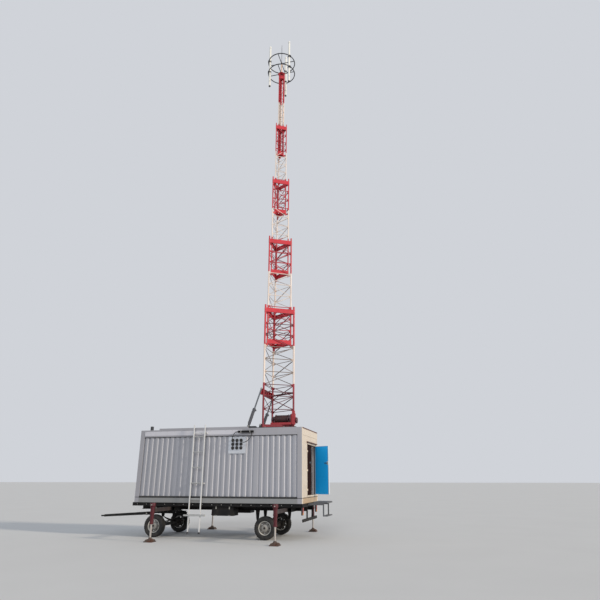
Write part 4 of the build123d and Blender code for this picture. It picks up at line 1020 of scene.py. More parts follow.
# %% Foot of the first section
TILT_X, TILT_Z = 4.37, 2.6
LEG_Y = SECTION_SIDE[0] / 2
LEG_X = MAST_X - SECTION_SIDE[0] / (2 * math.sqrt(3))
CYLINDER_Y = 0.77
BEAM_X0, BEAM_X1, BEAM_Z0, BEAM_Z1 = LEG_X - 0.062, LEG_X - 0.012, 3.67, 3.9
BEAM_HALF = CYLINDER_Y - 0.024
BELT_Z, BELT_HEIGHT = 3.8, 0.06
LUG_RADIUS = 0.038
BEARER_X, BEARER_Z = (4.76, 5.34), 2.58


def plate(outline, low, high):
    """A flat plate across Y: an outline of (x, z) in the shelter, between two values of y."""
    outline = (np.asarray(outline, float) + SHELTER[[0, 2]])[::-1] * (-1, 1)
    return bars((0, low, 0), (0, high, 0), outline)


def tongue(centre, radius, first, last, count=14):
    """A lug's outline: base corner to base corner, then half round the pin on the far side."""
    base = np.asarray(last, float) - first
    start = math.atan2(base[1], base[0])
    turn = start + np.linspace(0, math.pi, count)
    arc = np.stack([np.cos(turn), np.sin(turn)], axis=1) * radius + centre
    return np.concatenate([[first, last], arc])


def foot_weldment():
    """Tilt lugs, the boxed cross beam with stiffeners, and the channels for the winch."""
    shapes = []
    lug = tongue((TILT_X, TILT_Z), LUG_RADIUS, (LEG_X, TILT_Z + LUG_RADIUS),
                 (LEG_X, TILT_Z - LUG_RADIUS))
    for y in (-LEG_Y, LEG_Y):
        shapes.append(plate(lug, y - 0.015, y + 0.015))
    middle = np.array(((BEAM_X0 + BEAM_X1) / 2, 0, (BEAM_Z0 + BEAM_Z1) / 2))
    ends = [middle + (0, side * BEAM_HALF, 0) + SHELTER for side in (-1, 1)]
    outline = channel(BEAM_X1 - BEAM_X0, BEAM_Z1 - BEAM_Z0, 0.01)[::-1] * (-1, 1)
    shapes.append(bars(*ends, outline))
    for y in np.linspace(-0.6, 0.6, 5):
        low = at(BEAM_X0 + 0.006, y - 0.006, BEAM_Z0 + 0.008)
        shapes.append(block(low, (0.04, 0.012, BEAM_Z1 - BEAM_Z0 - 0.016)))
    for x in BEARER_X:
        reach = (MAST_X + SECTION_SIDE[0] / math.sqrt(3) - x) / math.sqrt(3) - 0.01
        start = at(x, -reach, BEARER_Z)
        shapes.append(bars(start, start + (0, 2 * reach, 0), channel(0.06, 0.08, 0.008)))
    return joined(*shapes)


for index in range(5):
    arms, pads = guide_arms(index)
    parts = [legs_of(index), rings(index), gussets(index), *arms]
    if index == 0:
        parts.append(foot_weldment())
    if index == 4:
        parts.append(leg_flanges(index))
    name, body = "section_%d" % (index + 1), "mast_%d" % (index + 1)
    made = piece(name, parts, body, "red_paint", section_paint[index], ["mast_" + name])
    piece(name + "_bracing", lattice(index), body, "red_paint", shaded_brace_paint[index])
    piece(name + "_pads", pads, body, "port_rubber", cap_black)
    if index == 0:
        belts = [
            bars(*side_ends(0, azimuth, LEG_Y, BELT_Z), channel(*belt))
            for azimuth, belt in ((60, (0.024, BELT_HEIGHT, 0.006)), (300, (0.016, 0.03, 0.005)))
        ]
        piece("stiffening_belts", belts, body, "red_paint", drum_maroon)
    print(made.name, "faces:", len(made.data.polygons))

# %% [markdown]
# ## The antenna head
# Two tubular hoops on a centre pole hold three upright antenna tubes clear of the mast, and a thin
# lightning rod stands above them. Each antenna is a pale plastic tube with a domed top and a dark
# cap at its foot, held by clamp plates and two bolts on each hoop.

# %% Hoops, spokes and rod
HEAD_HOOP, HEAD_TUBE = 0.621, 0.022
HEAD_LEVELS = (18.932, 19.56)
HEAD_TOP, SPOKE_RADIUS = 18.9, 0.017
AERIAL_RADIUS, AERIAL_TUBE = 0.556, 0.046
AERIAL_LOW, AERIAL_HIGH = 18.08, 20.49
AERIAL_AZIMUTHS = np.array((-35, 85, 205))


def hoop(centre, axis, radius, tube, count=48, around=8):
    """A round tube bent into a ring: a circle at a radius, carried once round the axis."""
    return turned(circle(tube, around) + (radius, 0), centre, axis, count)


mast_line = at(MAST_X, 0, 0)
head_foot = mast_line + (0, 0, HEAD_TOP)
head_plate = spun(
    [(0.156, 0.002), (0.16, 0.005), (0.16, 0.012), (0.156, 0.014)], head_foot, UP, 24,
)
head_pole = spun(
    [(0.046, 0.014), (0.03, 0.06), (0.03, 0.712), (0.026, 0.72)], head_foot, UP, 20,
)
head_shapes = [turned([
    (AXIS_GAP, 0.7), (0.01, 0.7), (0.01, 1.56), (0.0085, 1.64), (0.006, 1.76),
    (AXIS_GAP, 1.84),
], head_foot, UP, 12)]
pole_collar = [(0.029, -0.035), (0.04, -0.035), (0.04, 0.035), (0.029, 0.035)]
tube_collar = [(0.047, -0.029), (0.055, -0.029), (0.055, 0.029), (0.047, 0.029)]
spoke_ends = np.array([(1, 0, 0), (-1, 0, 0), (0, 1, 0), (0, -1, 0)]) * (HEAD_HOOP - 0.01)
for level in HEAD_LEVELS:
    centre = mast_line + (0, 0, level)
    spoke_starts = np.repeat(centre[None], 4, 0)
    outer, inner = (
        round_mast(reach, AERIAL_AZIMUTHS, level)
        for reach in (HEAD_HOOP + 0.03, AERIAL_RADIUS - AERIAL_TUBE - 0.012)
    )
    head_shapes += [
        hoop(centre, UP, HEAD_HOOP, HEAD_TUBE),
        bars(spoke_starts, centre + spoke_ends, circle(SPOKE_RADIUS, 8)),
        turned(pole_collar, centre, UP, 20),
    ]
    for lift in (-0.027, 0.027):
        rise = np.array((0, 0, lift))
        head_shapes.append(bars(inner + rise, outer + rise, rectangle(0.1, 0.008)))
    for azimuth in AERIAL_AZIMUTHS:
        place = round_mast(AERIAL_RADIUS, azimuth, level)
        head_shapes.append(turned(tube_collar, place, UP, 20))
piece("head_frame", head_shapes, "mast_5", "dark_steel", head_steel, ["antenna_frame"])
piece("head_plate", head_plate, "mast_5", "red_paint", section_paint[4])
piece("head_pole", head_pole, "mast_5", "cream_paint", pole_cream)

bolt_places = np.concatenate([
    round_mast(AERIAL_RADIUS + along, AERIAL_AZIMUTHS, level + 0.031)
    for level in HEAD_LEVELS for along in (-0.052, 0.078)
])
zinc_piece("head_bolts", [
    heads(bolt_places, UP, 0.017, 0.009), heads(bolt_places, UP, 0.009, 0.018, 8),
], "mast_5")
print("hoops:", len(HEAD_LEVELS), "antennas:", len(AERIAL_AZIMUTHS))

# %% Antenna tubes
AERIAL_LENGTH = AERIAL_HIGH - AERIAL_LOW
tube_profile = [
    (AERIAL_TUBE, 0.05), (AERIAL_TUBE, AERIAL_LENGTH - 0.03), (0.0435, AERIAL_LENGTH - 0.014),
    (0.034, AERIAL_LENGTH - 0.004), (0.018, AERIAL_LENGTH),
]
cap_profile = [
    (0.03, 0.006), (0.042, 0.014), (0.0462, 0.026), (0.0462, 0.056), (0.044, 0.06),
]
plug_profile = [(0.012, 0.0), (0.012, 0.007)]
feet = [round_mast(AERIAL_RADIUS, azimuth, AERIAL_LOW) for azimuth in AERIAL_AZIMUTHS]
tubes, caps, plugs = (
    [spun(profile, foot, UP, count) for foot in feet]
    for profile, count in ((tube_profile, 24), (cap_profile, 24), (plug_profile, 12))
)
bands = [
    turned([(0.0455, z), (0.0468, z), (0.0468, z + 0.012), (0.0455, z + 0.012)], foot, UP, 24)
    for foot in feet for z in (0.3, AERIAL_LENGTH - 0.12)
]
piece("antenna_tubes", tubes, "mast_5", "radome_white", antenna_white, ["antennas"])
piece("antenna_caps", caps + bands, "mast_5", "port_rubber", cap_black)
zinc_piece("antenna_plugs", plugs, "mast_5")
print("antenna tube", round(AERIAL_LENGTH, 3), "m long,", 2 * AERIAL_TUBE, "m across")

# %% [markdown]
# ## The tilt cylinders
# Two hydraulic cylinders push the mast upright. Each is a steel tube with a welded eye at its foot
# and a wide gland nut with an oil port at its mouth, and a bright rod that ends in an eye on the
# cross beam. A profile turned round the cylinder's own line gives each part. The rod's hidden end
# with its piston stays inside the tube.

# %% Cylinders
CYLINDER_FOOT = np.array((3.98, 0, 2.556))
CYLINDER_EYE = np.array((4.43, 0, 3.87))
CYLINDER_LENGTH = float(np.linalg.norm(CYLINDER_EYE - CYLINDER_FOOT))
CYLINDER_LINE = (CYLINDER_EYE - CYLINDER_FOOT) / CYLINDER_LENGTH
BARREL_LENGTH, BARREL_RADIUS, ROD_RADIUS, GLAND_RADIUS = 0.65, 0.051, 0.028, 0.061
EYE_RADIUS, EYE_HALF, ROD_GAP = 0.036, 0.018, 0.0006


def eye(centre, bore):
    """A pin eye: a ring of square section with eased edges, turned round the pin."""
    profile = [
        (bore, -EYE_HALF), (EYE_RADIUS - 0.003, -EYE_HALF), (EYE_RADIUS, -EYE_HALF + 0.003),
        (EYE_RADIUS, EYE_HALF - 0.003), (EYE_RADIUS - 0.003, EYE_HALF), (bore, EYE_HALF),
    ]
    return turned(profile, centre, SIDEWAYS, 28)


barrel_profile = [
    (0.024, 0.034), (0.046, 0.05), (BARREL_RADIUS, 0.056), (BARREL_RADIUS, 0.555),
    (GLAND_RADIUS, 0.558), (GLAND_RADIUS, 0.64), (0.05, BARREL_LENGTH),
    (ROD_RADIUS + ROD_GAP, BARREL_LENGTH), (ROD_RADIUS + ROD_GAP, 0.592), (0.044, 0.592),
    (0.044, 0.056), (AXIS_GAP, 0.056), (AXIS_GAP, 0.034),
]
rod_profile = [
    (0.0425, 0.575), (0.0425, 0.588), (ROD_RADIUS, 0.59), (ROD_RADIUS, CYLINDER_LENGTH - 0.03),
]
away = np.cross(CYLINDER_LINE, SIDEWAYS)
for place, side in SIDES:
    foot = CYLINDER_FOOT + (0, side * CYLINDER_Y, 0) + SHELTER
    top_eye = CYLINDER_EYE + (0, side * CYLINDER_Y, 0) + SHELTER
    neck_ends = [foot + CYLINDER_LINE * step for step in (0.03, 0.062)]
    port = foot + CYLINDER_LINE * 0.585 - away * 0.05
    body = "tilt_barrel_" + place
    piece(body + "_tube", [
        turned(barrel_profile, foot, CYLINDER_LINE, 32), eye(foot, 0.0153),
        bars(*neck_ends, rectangle(0.036, 0.06), SIDEWAYS),
        bars(port, port - away * 0.036, rectangle(0.052, 0.05), CYLINDER_LINE),
    ], body, "grey_paint", barrel_grey, [body])
    collar_at = np.array([foot + CYLINDER_LINE * step for step in (0.11, 0.52)])
    zinc_piece(body + "_pipe", [
        bars(*(collar_at + away * 0.06), circle(0.007, 8), SIDEWAYS),
        bars(collar_at + away * 0.046, collar_at + away * 0.07, circle(0.012, 6), SIDEWAYS),
    ], body)
    body = "tilt_rod_" + place
    rod = [spun(rod_profile, foot, CYLINDER_LINE, 28), eye(top_eye, 0.018)]
    piece(body + "_steel", rod, body, "chrome_steel", chrome_rod, [body])
print("cylinder, pin to pin:", round(CYLINDER_LENGTH, 3), "m")

# %% [markdown]
# ## The roof frame
# Channels welded into a grid spread the mast's load over the roof. The tilt pins and the cylinder
# feet sit in pairs of upright cheeks. Rows of bolts tie the grid down.

# %% Roof frame
FRAME_LOW, FRAME_HEIGHT, FRAME_BEAM = 2.438, 0.057, 0.11
FRAME_X0, FRAME_X1, CHEEK_LOW = 3.85, 5.74, FRAME_LOW + 0.05
cross_x = np.array((TILT_X - 0.06, FRAME_X1 - FRAME_BEAM, MAST_X + 0.06)) + FRAME_BEAM / 2
beam_z = FRAME_LOW + FRAME_HEIGHT / 2
long_y = np.array((-CYLINDER_Y, CYLINDER_Y))
frame_shapes = [
    bars(at(FRAME_X0, long_y, beam_z), at(FRAME_X1, long_y, beam_z),
         rectangle(FRAME_BEAM, FRAME_HEIGHT)),
    bars(at(cross_x, -CYLINDER_Y, beam_z), at(cross_x, CYLINDER_Y, beam_z),
         rectangle(FRAME_BEAM, FRAME_HEIGHT - 0.002)),
]
foot_x, foot_z = CYLINDER_FOOT[[0, 2]]
tilt_cheek = tongue((TILT_X, TILT_Z), LUG_RADIUS, (TILT_X - 0.055, CHEEK_LOW),
                    (TILT_X + 0.055, CHEEK_LOW))
foot_cheek = tongue((foot_x, foot_z), 0.04, (foot_x - 0.05, CHEEK_LOW),
                    (foot_x + 0.05, CHEEK_LOW))
shoe = [
    (foot_x, FRAME_LOW), (foot_x + 0.31, FRAME_LOW), (foot_x + 0.31, FRAME_LOW + 0.08),
    (foot_x + 0.27, FRAME_LOW + 0.107), (foot_x, FRAME_LOW + 0.107),
]
for y in (-LEG_Y, LEG_Y):
    for low in (-0.047, 0.017):
        frame_shapes.append(plate(tilt_cheek, y + low, y + low + 0.03))
for y in long_y:
    for low in (-0.036, 0.02):
        frame_shapes.append(plate(foot_cheek, y + low, y + low + 0.016))
        frame_shapes.append(plate(shoe, y + low + 0.001, y + low + 0.015))
piece("roof_frame", frame_shapes, TRAILER, "dark_steel", roof_steel, ["mast_roof_frame"], 0.003)


def pin(x, z, low, high, radius, head):
    """A plain pin across Y with a chamfered head at each end."""
    half = [(head - 0.003, low), (head, low + 0.003), (head, low + 0.01), (radius, low + 0.01)]
    return spun(half + [
        (radius, high - 0.01), (head, high - 0.01), (head, high - 0.003), (head - 0.003, high),
    ], at(x, 0, z), SIDEWAYS, 24)


pins = [pin(TILT_X, TILT_Z, y - 0.059, y + 0.059, 0.0198, 0.027) for y in (-LEG_Y, LEG_Y)]
pins += [pin(foot_x, foot_z, y - 0.046, y + 0.046, 0.0148, 0.021) for y in long_y]
zinc_piece("roof_pins", pins)
foot_bolts = np.array([
    at(x, y + off, FRAME_LOW + FRAME_HEIGHT) for x in (3.89, 4.6, 5.3, 5.7)
    for y in long_y for off in (-0.036, 0.036)
])
zinc_piece("roof_bolts", heads(foot_bolts, UP, 0.03, 0.014))
eye_x, eye_z = CYLINDER_EYE[[0, 2]]
beam_pins = [
    pin(eye_x, eye_z, y - low, y + high, 0.015, 0.024)
    for y, low, high in ((-CYLINDER_Y, 0.028, 0.04), (CYLINDER_Y, 0.04, 0.028))
]
zinc_piece("beam_pins", beam_pins, "mast_1")
print("pins:", len(pins) + len(beam_pins))

# %% [markdown]
# ## The winch in the foot of the mast
# A drum with two flanges carries the lifting rope, which lies in even turns. It sits in a low
# cradle with a motor at one end. At the other end come the clutch housing, a tall gearbox and a
# brake disc. Rope turns are hoops laid side by side: on a tight drum the eye can't tell a hoop
# from a turn of the helix, and hoops are closed shapes.

# %% Winch
DRUM_X0, DRUM_X1, DRUM_Y, DRUM_Z = 4.79, 5.29, -0.06, 2.825
DRUM_RADIUS, ROPE_LAYER, ROPE_RADIUS = 0.178, 0.14, 0.009
drum_foot = at(0, DRUM_Y, DRUM_Z)


def on_drum(profile, count=32):
    """A solid of (radius, x) pairs turned round the drum's shaft."""
    return spun(profile, drum_foot, ALONG, count)


drum = on_drum([
    (DRUM_RADIUS - 0.002, DRUM_X0), (DRUM_RADIUS, DRUM_X0 + 0.002),
    (DRUM_RADIUS, DRUM_X0 + 0.014), (ROPE_LAYER, DRUM_X0 + 0.014), (ROPE_LAYER, DRUM_X1 - 0.014),
    (DRUM_RADIUS, DRUM_X1 - 0.014), (DRUM_RADIUS, DRUM_X1 - 0.002), (DRUM_RADIUS - 0.002, DRUM_X1),
])
rope_count = int((DRUM_X1 - DRUM_X0 - 0.036) / (2 * ROPE_RADIUS))
rope_x = DRUM_X0 + 0.014 + ROPE_RADIUS * (1 + 2 * np.arange(rope_count)) + 0.004
rope = [
    hoop(drum_foot + (x, 0, 0), ALONG, ROPE_LAYER + ROPE_RADIUS, ROPE_RADIUS, 28, 6)
    for x in rope_x
]
stands = [on_drum([(0.022, 4.73), (0.022, 5.56)], 16)]
stand_outline = np.array([
    (-0.105, -0.205), (0.105, -0.205), (0.05, 0.03), (0.03, 0.055), (-0.03, 0.055),
    (-0.05, 0.03),
])
for x in (DRUM_X0 - 0.044, DRUM_X1 + 0.024):
    ends = [drum_foot + (x + step, 0, 0) for step in (0, 0.024)]
    bearing = [(0.024, x - 0.008), (0.046, x - 0.008), (0.046, x + 0.032), (0.024, x + 0.032)]
    stands += [bars(*ends, stand_outline, UP), turned(bearing, drum_foot, ALONG, 20)]
motor = on_drum([
    (0.086, 4.63), (0.1, 4.642), (0.1, 4.7), (0.12, 4.706), (0.12, 4.722),
])
clutch = on_drum([(0.176, 5.342), (0.188, 5.35), (0.188, 5.382), (0.176, 5.39)])
cradle = [block(at(4.64, DRUM_Y + y, 2.622), (0.76, 0.06, 0.08)) for y in (-0.205, 0.145)]
cradle += [
    block(at(x, DRUM_Y - 0.15, 2.624), (0.05, 0.3, 0.02)) for x in (4.645, 4.735, 5.31)
]
cradle.append(block(at(4.645, DRUM_Y - 0.09, 2.64), (0.05, 0.18, 0.115)))
piece("winch_cradle", cradle, "mast_1", "red_paint", winch_red, bevel=0.003)
piece("winch_motor", [motor, clutch], "mast_1", "red_paint", drum_maroon, bevel=0.002)
piece("winch_drum", drum, "mast_1", "red_paint", drum_maroon, ["winch"])
piece("winch_rope", rope, "mast_1", "galvanised", wire_rope)
piece("winch_stands", stands, "mast_1", "red_paint", drum_maroon, bevel=0.002)
print("rope turns:", rope_count)

# %% Gearbox and brake
gear_low = at(5.395, DRUM_Y - 0.1, 2.64)
gear_high = at(5.535, DRUM_Y + 0.02, 3.13)
case = boxes([gear_low, gear_low + (0.02, 0.02, -0.02)],
             [gear_high - (0, 0, 0.12), gear_high - (0.02, 0.02, 0.0)])
flange_z = np.array((2.76, 2.89, 3.01))
ribs = boxes(at(5.388, DRUM_Y - 0.104, flange_z), at(5.542, DRUM_Y + 0.024, flange_z + 0.012))
piece("winch_gearbox", [case, ribs], "mast_1", "red_paint", winch_red, bevel=0.006)
brake = spun([
    (0.06, 5.53), (0.07, 5.548), (0.1, 5.55), (0.108, 5.558), (0.108, 5.59),
    (0.1, 5.598), (0.05, 5.6),
], at(0, DRUM_Y, DRUM_Z - 0.04), ALONG, 32)
piece("winch_brake", brake, "mast_1", "red_paint", drum_maroon)
gear_bolts = np.array([
    at(5.395, DRUM_Y + y, z) for y in (-0.085, 0.005) for z in (2.68, 2.83, 2.98)
])
zinc_piece("winch_bolts", heads(gear_bolts, (-1, 0, 0), 0.016, 0.008), "mast_1")
print("winch pieces made")

# %% [markdown]
# ## The door end
# The doorway has two leaves. The far one stands open and shows its blue inner face inside a pale
# edge channel, and the near one is shut and brown. Each leaf is drawn once on its own hinge line,
# as distances along the leaf, out from its face and up, and is then hung at its hinge.

# %% Leaves on their hinges
DOOR_FACE = 6.048
DOOR_Y0, DOOR_Y1 = -0.429, 0.881
DOOR_Z0, DOOR_Z1 = 0.24, 1.92
LEAF_X0, LEAF_WIDTH, LEAF_THICK = 0.01, 0.64, 0.05
LEAF_LOW, LEAF_HEIGHT = 0.25, 1.66
EDGE, RAIL_EDGE, LOCK_SHARE = 0.026, 0.006, 0.64
HINGE_OUT, HINGE_RADIUS, HINGE_HEIGHT = 0.016, 0.012, 0.06
HINGE_SHARES = np.array((0.12, 0.5, 0.88))
OPEN_TURN = math.radians(63 - 90)
hinge_levels = LEAF_LOW + LEAF_HEIGHT * HINGE_SHARES
LEAF_TOP, LOCK_Z = LEAF_LOW + LEAF_HEIGHT, LEAF_LOW + LEAF_HEIGHT * LOCK_SHARE


def hung(shape, hinge_y, along, outward):
    """A shape of (along, out, up) put on its hinge; a left-handed set of axes flips its faces."""
    points, faces = shape
    along = np.asarray(along, float)
    out = outward * np.cross(UP, along)
    hinge = at(DOOR_FACE + HINGE_OUT, hinge_y, 0)
    step, depth, height = points[:, :1], points[:, 1:2] - HINGE_OUT, points[:, 2:]
    placed = hinge + step * along + depth * out + height * UP
    return placed, faces if outward > 0 else [rows[:, ::-1] for rows in faces]


def leaf_panel():
    """The flat leaf with three shallow pressed fields on each face."""
    low, high = LEAF_X0 + 0.016, LEAF_X0 + LEAF_WIDTH - 0.016
    shapes = [boxes((low, 0.002 - LEAF_THICK, LEAF_LOW + 0.004), (high, -0.002, LEAF_TOP - 0.004))]
    field = rectangle(0.46, 0.46)
    for share in (0.18, 0.5, 0.82):
        middle = np.array(((low + high) / 2, 0, LEAF_LOW + LEAF_HEIGHT * share))
        for depth, out in ((-0.003, 0.0045), (0.003 - LEAF_THICK, -0.0045)):
            shapes.append(bars(middle + (0, depth, 0), middle + (0, depth + out, 0), field))
    return joined(*shapes)


def leaf_edge():
    """Pale channel folded round the four edges of the leaf, and the lock's plate inside."""
    low, high, back = LEAF_X0, LEAF_X0 + LEAF_WIDTH, -LEAF_THICK
    return boxes(
        [(low, back, LEAF_LOW), (high - EDGE, back, LEAF_LOW), (low + EDGE, back, LEAF_LOW),
         (low + EDGE, back, LEAF_TOP - RAIL_EDGE), (high - 0.075, back - 0.006, LOCK_Z - 0.06)],
        [(low + EDGE, 0, LEAF_TOP), (high, 0, LEAF_TOP), (high - EDGE, 0, LEAF_LOW + RAIL_EDGE),
         (high - EDGE, 0, LEAF_TOP), (high - 0.004, 0.001 + back, LOCK_Z + 0.06)],
    )


def leaf_hinges():
    """Knuckles on the hinge line and the straps that join them to the leaf."""
    lows = np.array([(0, HINGE_OUT, level + 0.0003) for level in hinge_levels])
    return joined(
        bars(lows, lows + (0, 0, HINGE_HEIGHT), circle(HINGE_RADIUS, 14), ALONG),
        boxes([(0.004, 0.004, level + 0.004) for level in hinge_levels],
              [(0.115, 0.012, level + 0.056) for level in hinge_levels]),
    )


def lock_bar():
    """The upright lock rod in its keepers, with its lever folded flat along the leaf."""
    x, out = LEAF_WIDTH - 0.07, 0.04
    rod_ends = [(x, out, LEAF_LOW + share * LEAF_HEIGHT) for share in (0.08, 0.92)]
    keepers = [
        boxes((x - 0.022, 0.0, level), (x + 0.022, 0.052, level + 0.036))
        for level in LEAF_LOW + LEAF_HEIGHT * np.array((0.1, 0.42, 0.56, 0.88))
    ]
    lever = boxes((x - 0.25, 0.03, LOCK_Z - 0.012), (x + 0.01, 0.04, LOCK_Z + 0.012))
    latch = boxes((x - 0.262, 0.0, LOCK_Z - 0.03), (x - 0.222, 0.046, LOCK_Z + 0.03))
    inner = boxes((x + 0.024, -0.07, LOCK_Z - 0.014), (x + 0.052, -0.055, LOCK_Z + 0.014))
    grip = boxes((x - 0.09, -0.082, LOCK_Z - 0.012), (x + 0.052, -0.07, LOCK_Z + 0.012))
    rod = bars(*rod_ends, circle(0.011, 12), ALONG)
    return joined(rod, *keepers, lever, latch, inner, grip)


far_leaf = (DOOR_Y1, (math.cos(OPEN_TURN), math.sin(OPEN_TURN), 0), 1)
near_leaf = (DOOR_Y0, SIDEWAYS, -1)
for side, hang, paint_of, edge_of, hinges in (
    ("far", far_leaf, ("blue_paint", door_blue), ("shelter_paint", edge_pale), step_steel),
    ("near", near_leaf, ("brown_paint", door_brown), ("brown_paint", door_brown), door_brown),
):
    name, body = "leaf_" + side, "door_" + side
    piece(name, hung(leaf_panel(), *hang), body, *paint_of, ["door_leaf_" + side], 0.003)
    piece(name + "_edge", hung(leaf_edge(), *hang), body, *edge_of, bevel=0.002)
    for part, shape, finish in (
        ("_hinges", leaf_hinges(), hinges), ("_lock", lock_bar(), step_steel),
    ):
        piece(name + part, hung(shape, *hang), body, "galvanised", finish, bevel=0.001)
print("leaves hung at", DOOR_Y0, "and", DOOR_Y1)

# %% [markdown]
# ### Frame, hood and landing
# A steel frame lines the doorway, painted cream like the whole door end as painted sunlight on
# white paint, with a rubber seal inside it, and the deep far jamb is lined with pale sheet behind
# a dark stop. A low folded rain strip hangs above on three cheeks.
# Below is a landing of steel grating on two arms: a grid of thin upright flats with round cross
# rods lets mud fall through.

# %% Doorway, hood
# The door end wall, its head and sill and the door frame are painted warm cream, the white paint
# as painted sunlight.
dress("door_end_wall", door_end_sunlit_cream)
dress("door_head_and_sill", door_end_sunlit_cream)
frame_width, frame_proud = 0.034, 0.006
x0, x1 = DOOR_FACE - 0.004, DOOR_FACE + frame_proud
y0, y1 = DOOR_Y0 - frame_width, DOOR_Y1 + frame_width
z0, z1 = DOOR_Z0 - frame_width, DOOR_Z1 + frame_width
door_frame = boxes(
    [at(x0, y0, z0), at(x0, y0, z0), at(x0, DOOR_Y1, z0), at(x0, y0, DOOR_Z1)],
    [at(x1, y1, DOOR_Z0), at(x1, DOOR_Y0, z1), at(x1, y1, z1), at(x1, y1, z1)],
)
piece("door_frame", door_frame, TRAILER, "cream_paint", door_end_sunlit_cream, bevel=0.002)
SEAL_BACK, SEAL_FRONT, SEAL_WIDTH = DOOR_FACE - 0.1, DOOR_FACE - 0.072, 0.008
seal = boxes(
    [at(SEAL_BACK, DOOR_Y0, z) for z in (DOOR_Z0, DOOR_Z0, DOOR_Z1 - SEAL_WIDTH)],
    [at(SEAL_FRONT, DOOR_Y0 + SEAL_WIDTH, DOOR_Z1), at(SEAL_FRONT, DOOR_Y1, DOOR_Z0 + SEAL_WIDTH),
     at(SEAL_FRONT, DOOR_Y1, DOOR_Z1)],
)
piece("door_seal", seal, TRAILER, "port_rubber", gasket_black)

HOOD_LOW, HOOD_LIP, HOOD_HIGH = 1.95, 1.972, 2.012
HOOD_OUT, HOOD_OVER = 0.07, 0.07
hood_low, hood_high = DOOR_Y0 - HOOD_OVER, DOOR_Y1 + HOOD_OVER
hood_lip = DOOR_FACE + HOOD_OUT
hood_outline = [
    (DOOR_FACE, HOOD_HIGH - 0.004), (hood_lip - 0.003, HOOD_HIGH - 0.016),
    (hood_lip - 0.003, HOOD_LIP), (hood_lip, HOOD_LIP), (hood_lip, HOOD_HIGH - 0.012),
    (DOOR_FACE, HOOD_HIGH),
]
cheek_outline = [
    (DOOR_FACE, HOOD_LOW), (hood_lip - 0.003, HOOD_LIP + 0.006),
    (hood_lip - 0.003, HOOD_HIGH - 0.015), (DOOR_FACE, HOOD_HIGH - 0.004),
]
hood_shapes = [plate(hood_outline, hood_low, hood_high)]
for y in (hood_low, hood_high - 0.004, (hood_low + hood_high) / 2):
    hood_shapes.append(plate(cheek_outline, y, y + 0.004))
piece("rain_hood", hood_shapes, TRAILER, "brown_paint", hood_brown, ["door_hood"])
dress("entry_step", step_steel, 0.003)
jamb_low = at(DOOR_FACE - 0.158, DOOR_Y1 - 0.005, DOOR_Z0)
jamb_high = at(DOOR_FACE + 0.001, DOOR_Y1 + 0.002, DOOR_Z1)
jamb = boxes(jamb_low, jamb_high)
stop = boxes(jamb_high - (0.056, 0.009, DOOR_Z1 - DOOR_Z0), jamb_high + (0.0015, 0, 0))
piece("far_jamb_lining", jamb, TRAILER, "shelter_paint", jamb_white)
piece("far_jamb_stop", stop, TRAILER, "galvanised", step_steel)
print("hood width", round(hood_high - hood_low, 3), "m")

# %% Landing
STEP_X0, STEP_X1, STEP_Y0, STEP_Y1, STEP_TOP = 6.228, 6.718, -0.33, 0.57, 0.04
flat_x = np.arange(STEP_X0 + 0.05, STEP_X1 - 0.045, 0.03)
grating = boxes(
    at(flat_x, STEP_Y0 + 0.038, STEP_TOP - 0.034),
    at(flat_x + 0.003, STEP_Y1 - 0.038, STEP_TOP - 0.002),
)
rod_y = np.arange(STEP_Y0 + 0.09, STEP_Y1 - 0.05, 0.09)
rod_ends = [at(x, rod_y, STEP_TOP - 0.006) for x in (STEP_X0 + 0.038, STEP_X1 - 0.038)]
grid = [grating, bars(*rod_ends, circle(0.004, 6))]
piece("landing_grating", grid, TRAILER, "galvanised", step_steel)
step_bolts = at(6.08, (STEP_Y0 - 0.002, STEP_Y1 - 0.042), STEP_TOP - 0.085)
zinc_piece("landing_bolts", heads(step_bolts, (0, -1, 0), 0.024, 0.01))
print("grating flats:", len(flat_x))

# %% [markdown]
# ## Ladder and port plate
# The ladder's rails are square tube and its rungs round tube. A wide step at the bottom helps on
# soft ground, and two tie bars hold the ladder off the wall. The port plate is a pale sheet with
# nine round rubber boots, where cables pass through the wall. Two of them carry the feeders, and
# the rest are closed with caps.

# %% Ladder
LADDER_X0, LADDER_X1, LADDER_Y = 2.14, 2.585, -1.339
LADDER_LOW, LADDER_HIGH = -0.95, 2.58
LADDER_STEP_Z, RUNG_PITCH = -0.385, 0.51
RAIL, RAIL_DEPTH = 0.032, 0.046
rail_x = np.array((LADDER_X0 + RAIL / 2, LADDER_X1 - RAIL / 2))
rail_ends = [at(rail_x, LADDER_Y, z) for z in (LADDER_LOW, LADDER_HIGH)]
rails = bars(*rail_ends, rectangle(RAIL_DEPTH, RAIL), ALONG)
rung_z = LADDER_STEP_Z + RUNG_PITCH * np.arange(1, 6)
rungs = bars(at(rail_x[0], LADDER_Y, rung_z), at(rail_x[1], LADDER_Y, rung_z), circle(0.015, 12))
middle_x = (LADDER_X0 + LADDER_X1) / 2
step_x, step_y, step_z = middle_x - 0.38, LADDER_Y - 0.045, LADDER_STEP_Z - 0.025
tread = block(at(step_x, step_y, step_z), (0.76, 0.09, 0.05))
lip_x = np.arange(step_x + 0.03, step_x + 0.74, 0.035)
grip = boxes(
    at(lip_x, step_y + 0.008, step_z + 0.049), at(lip_x + 0.012, step_y + 0.082, step_z + 0.053),
)
tie_reach, ladder_width = -HALF_WIDTH - LADDER_Y - RAIL_DEPTH / 2, LADDER_X1 - LADDER_X0
ties = []
for level in (0.625, 2.3):
    low = at(LADDER_X0 - 0.04, LADDER_Y + RAIL_DEPTH / 2, level - 0.02)
    ties.append(boxes(low + (0, 0, 0.004), low + (ladder_width + 0.08, 0.012, 0.036)))
    for x in (0, ladder_width + 0.04):
        ties.append(block(low + (x, 0, 0), (0.04, tie_reach, 0.04)))
piece("ladder_frame", [rails, *ties], TRAILER, "ladder_paint", ladder_grey, ["ladder"], 0.004)
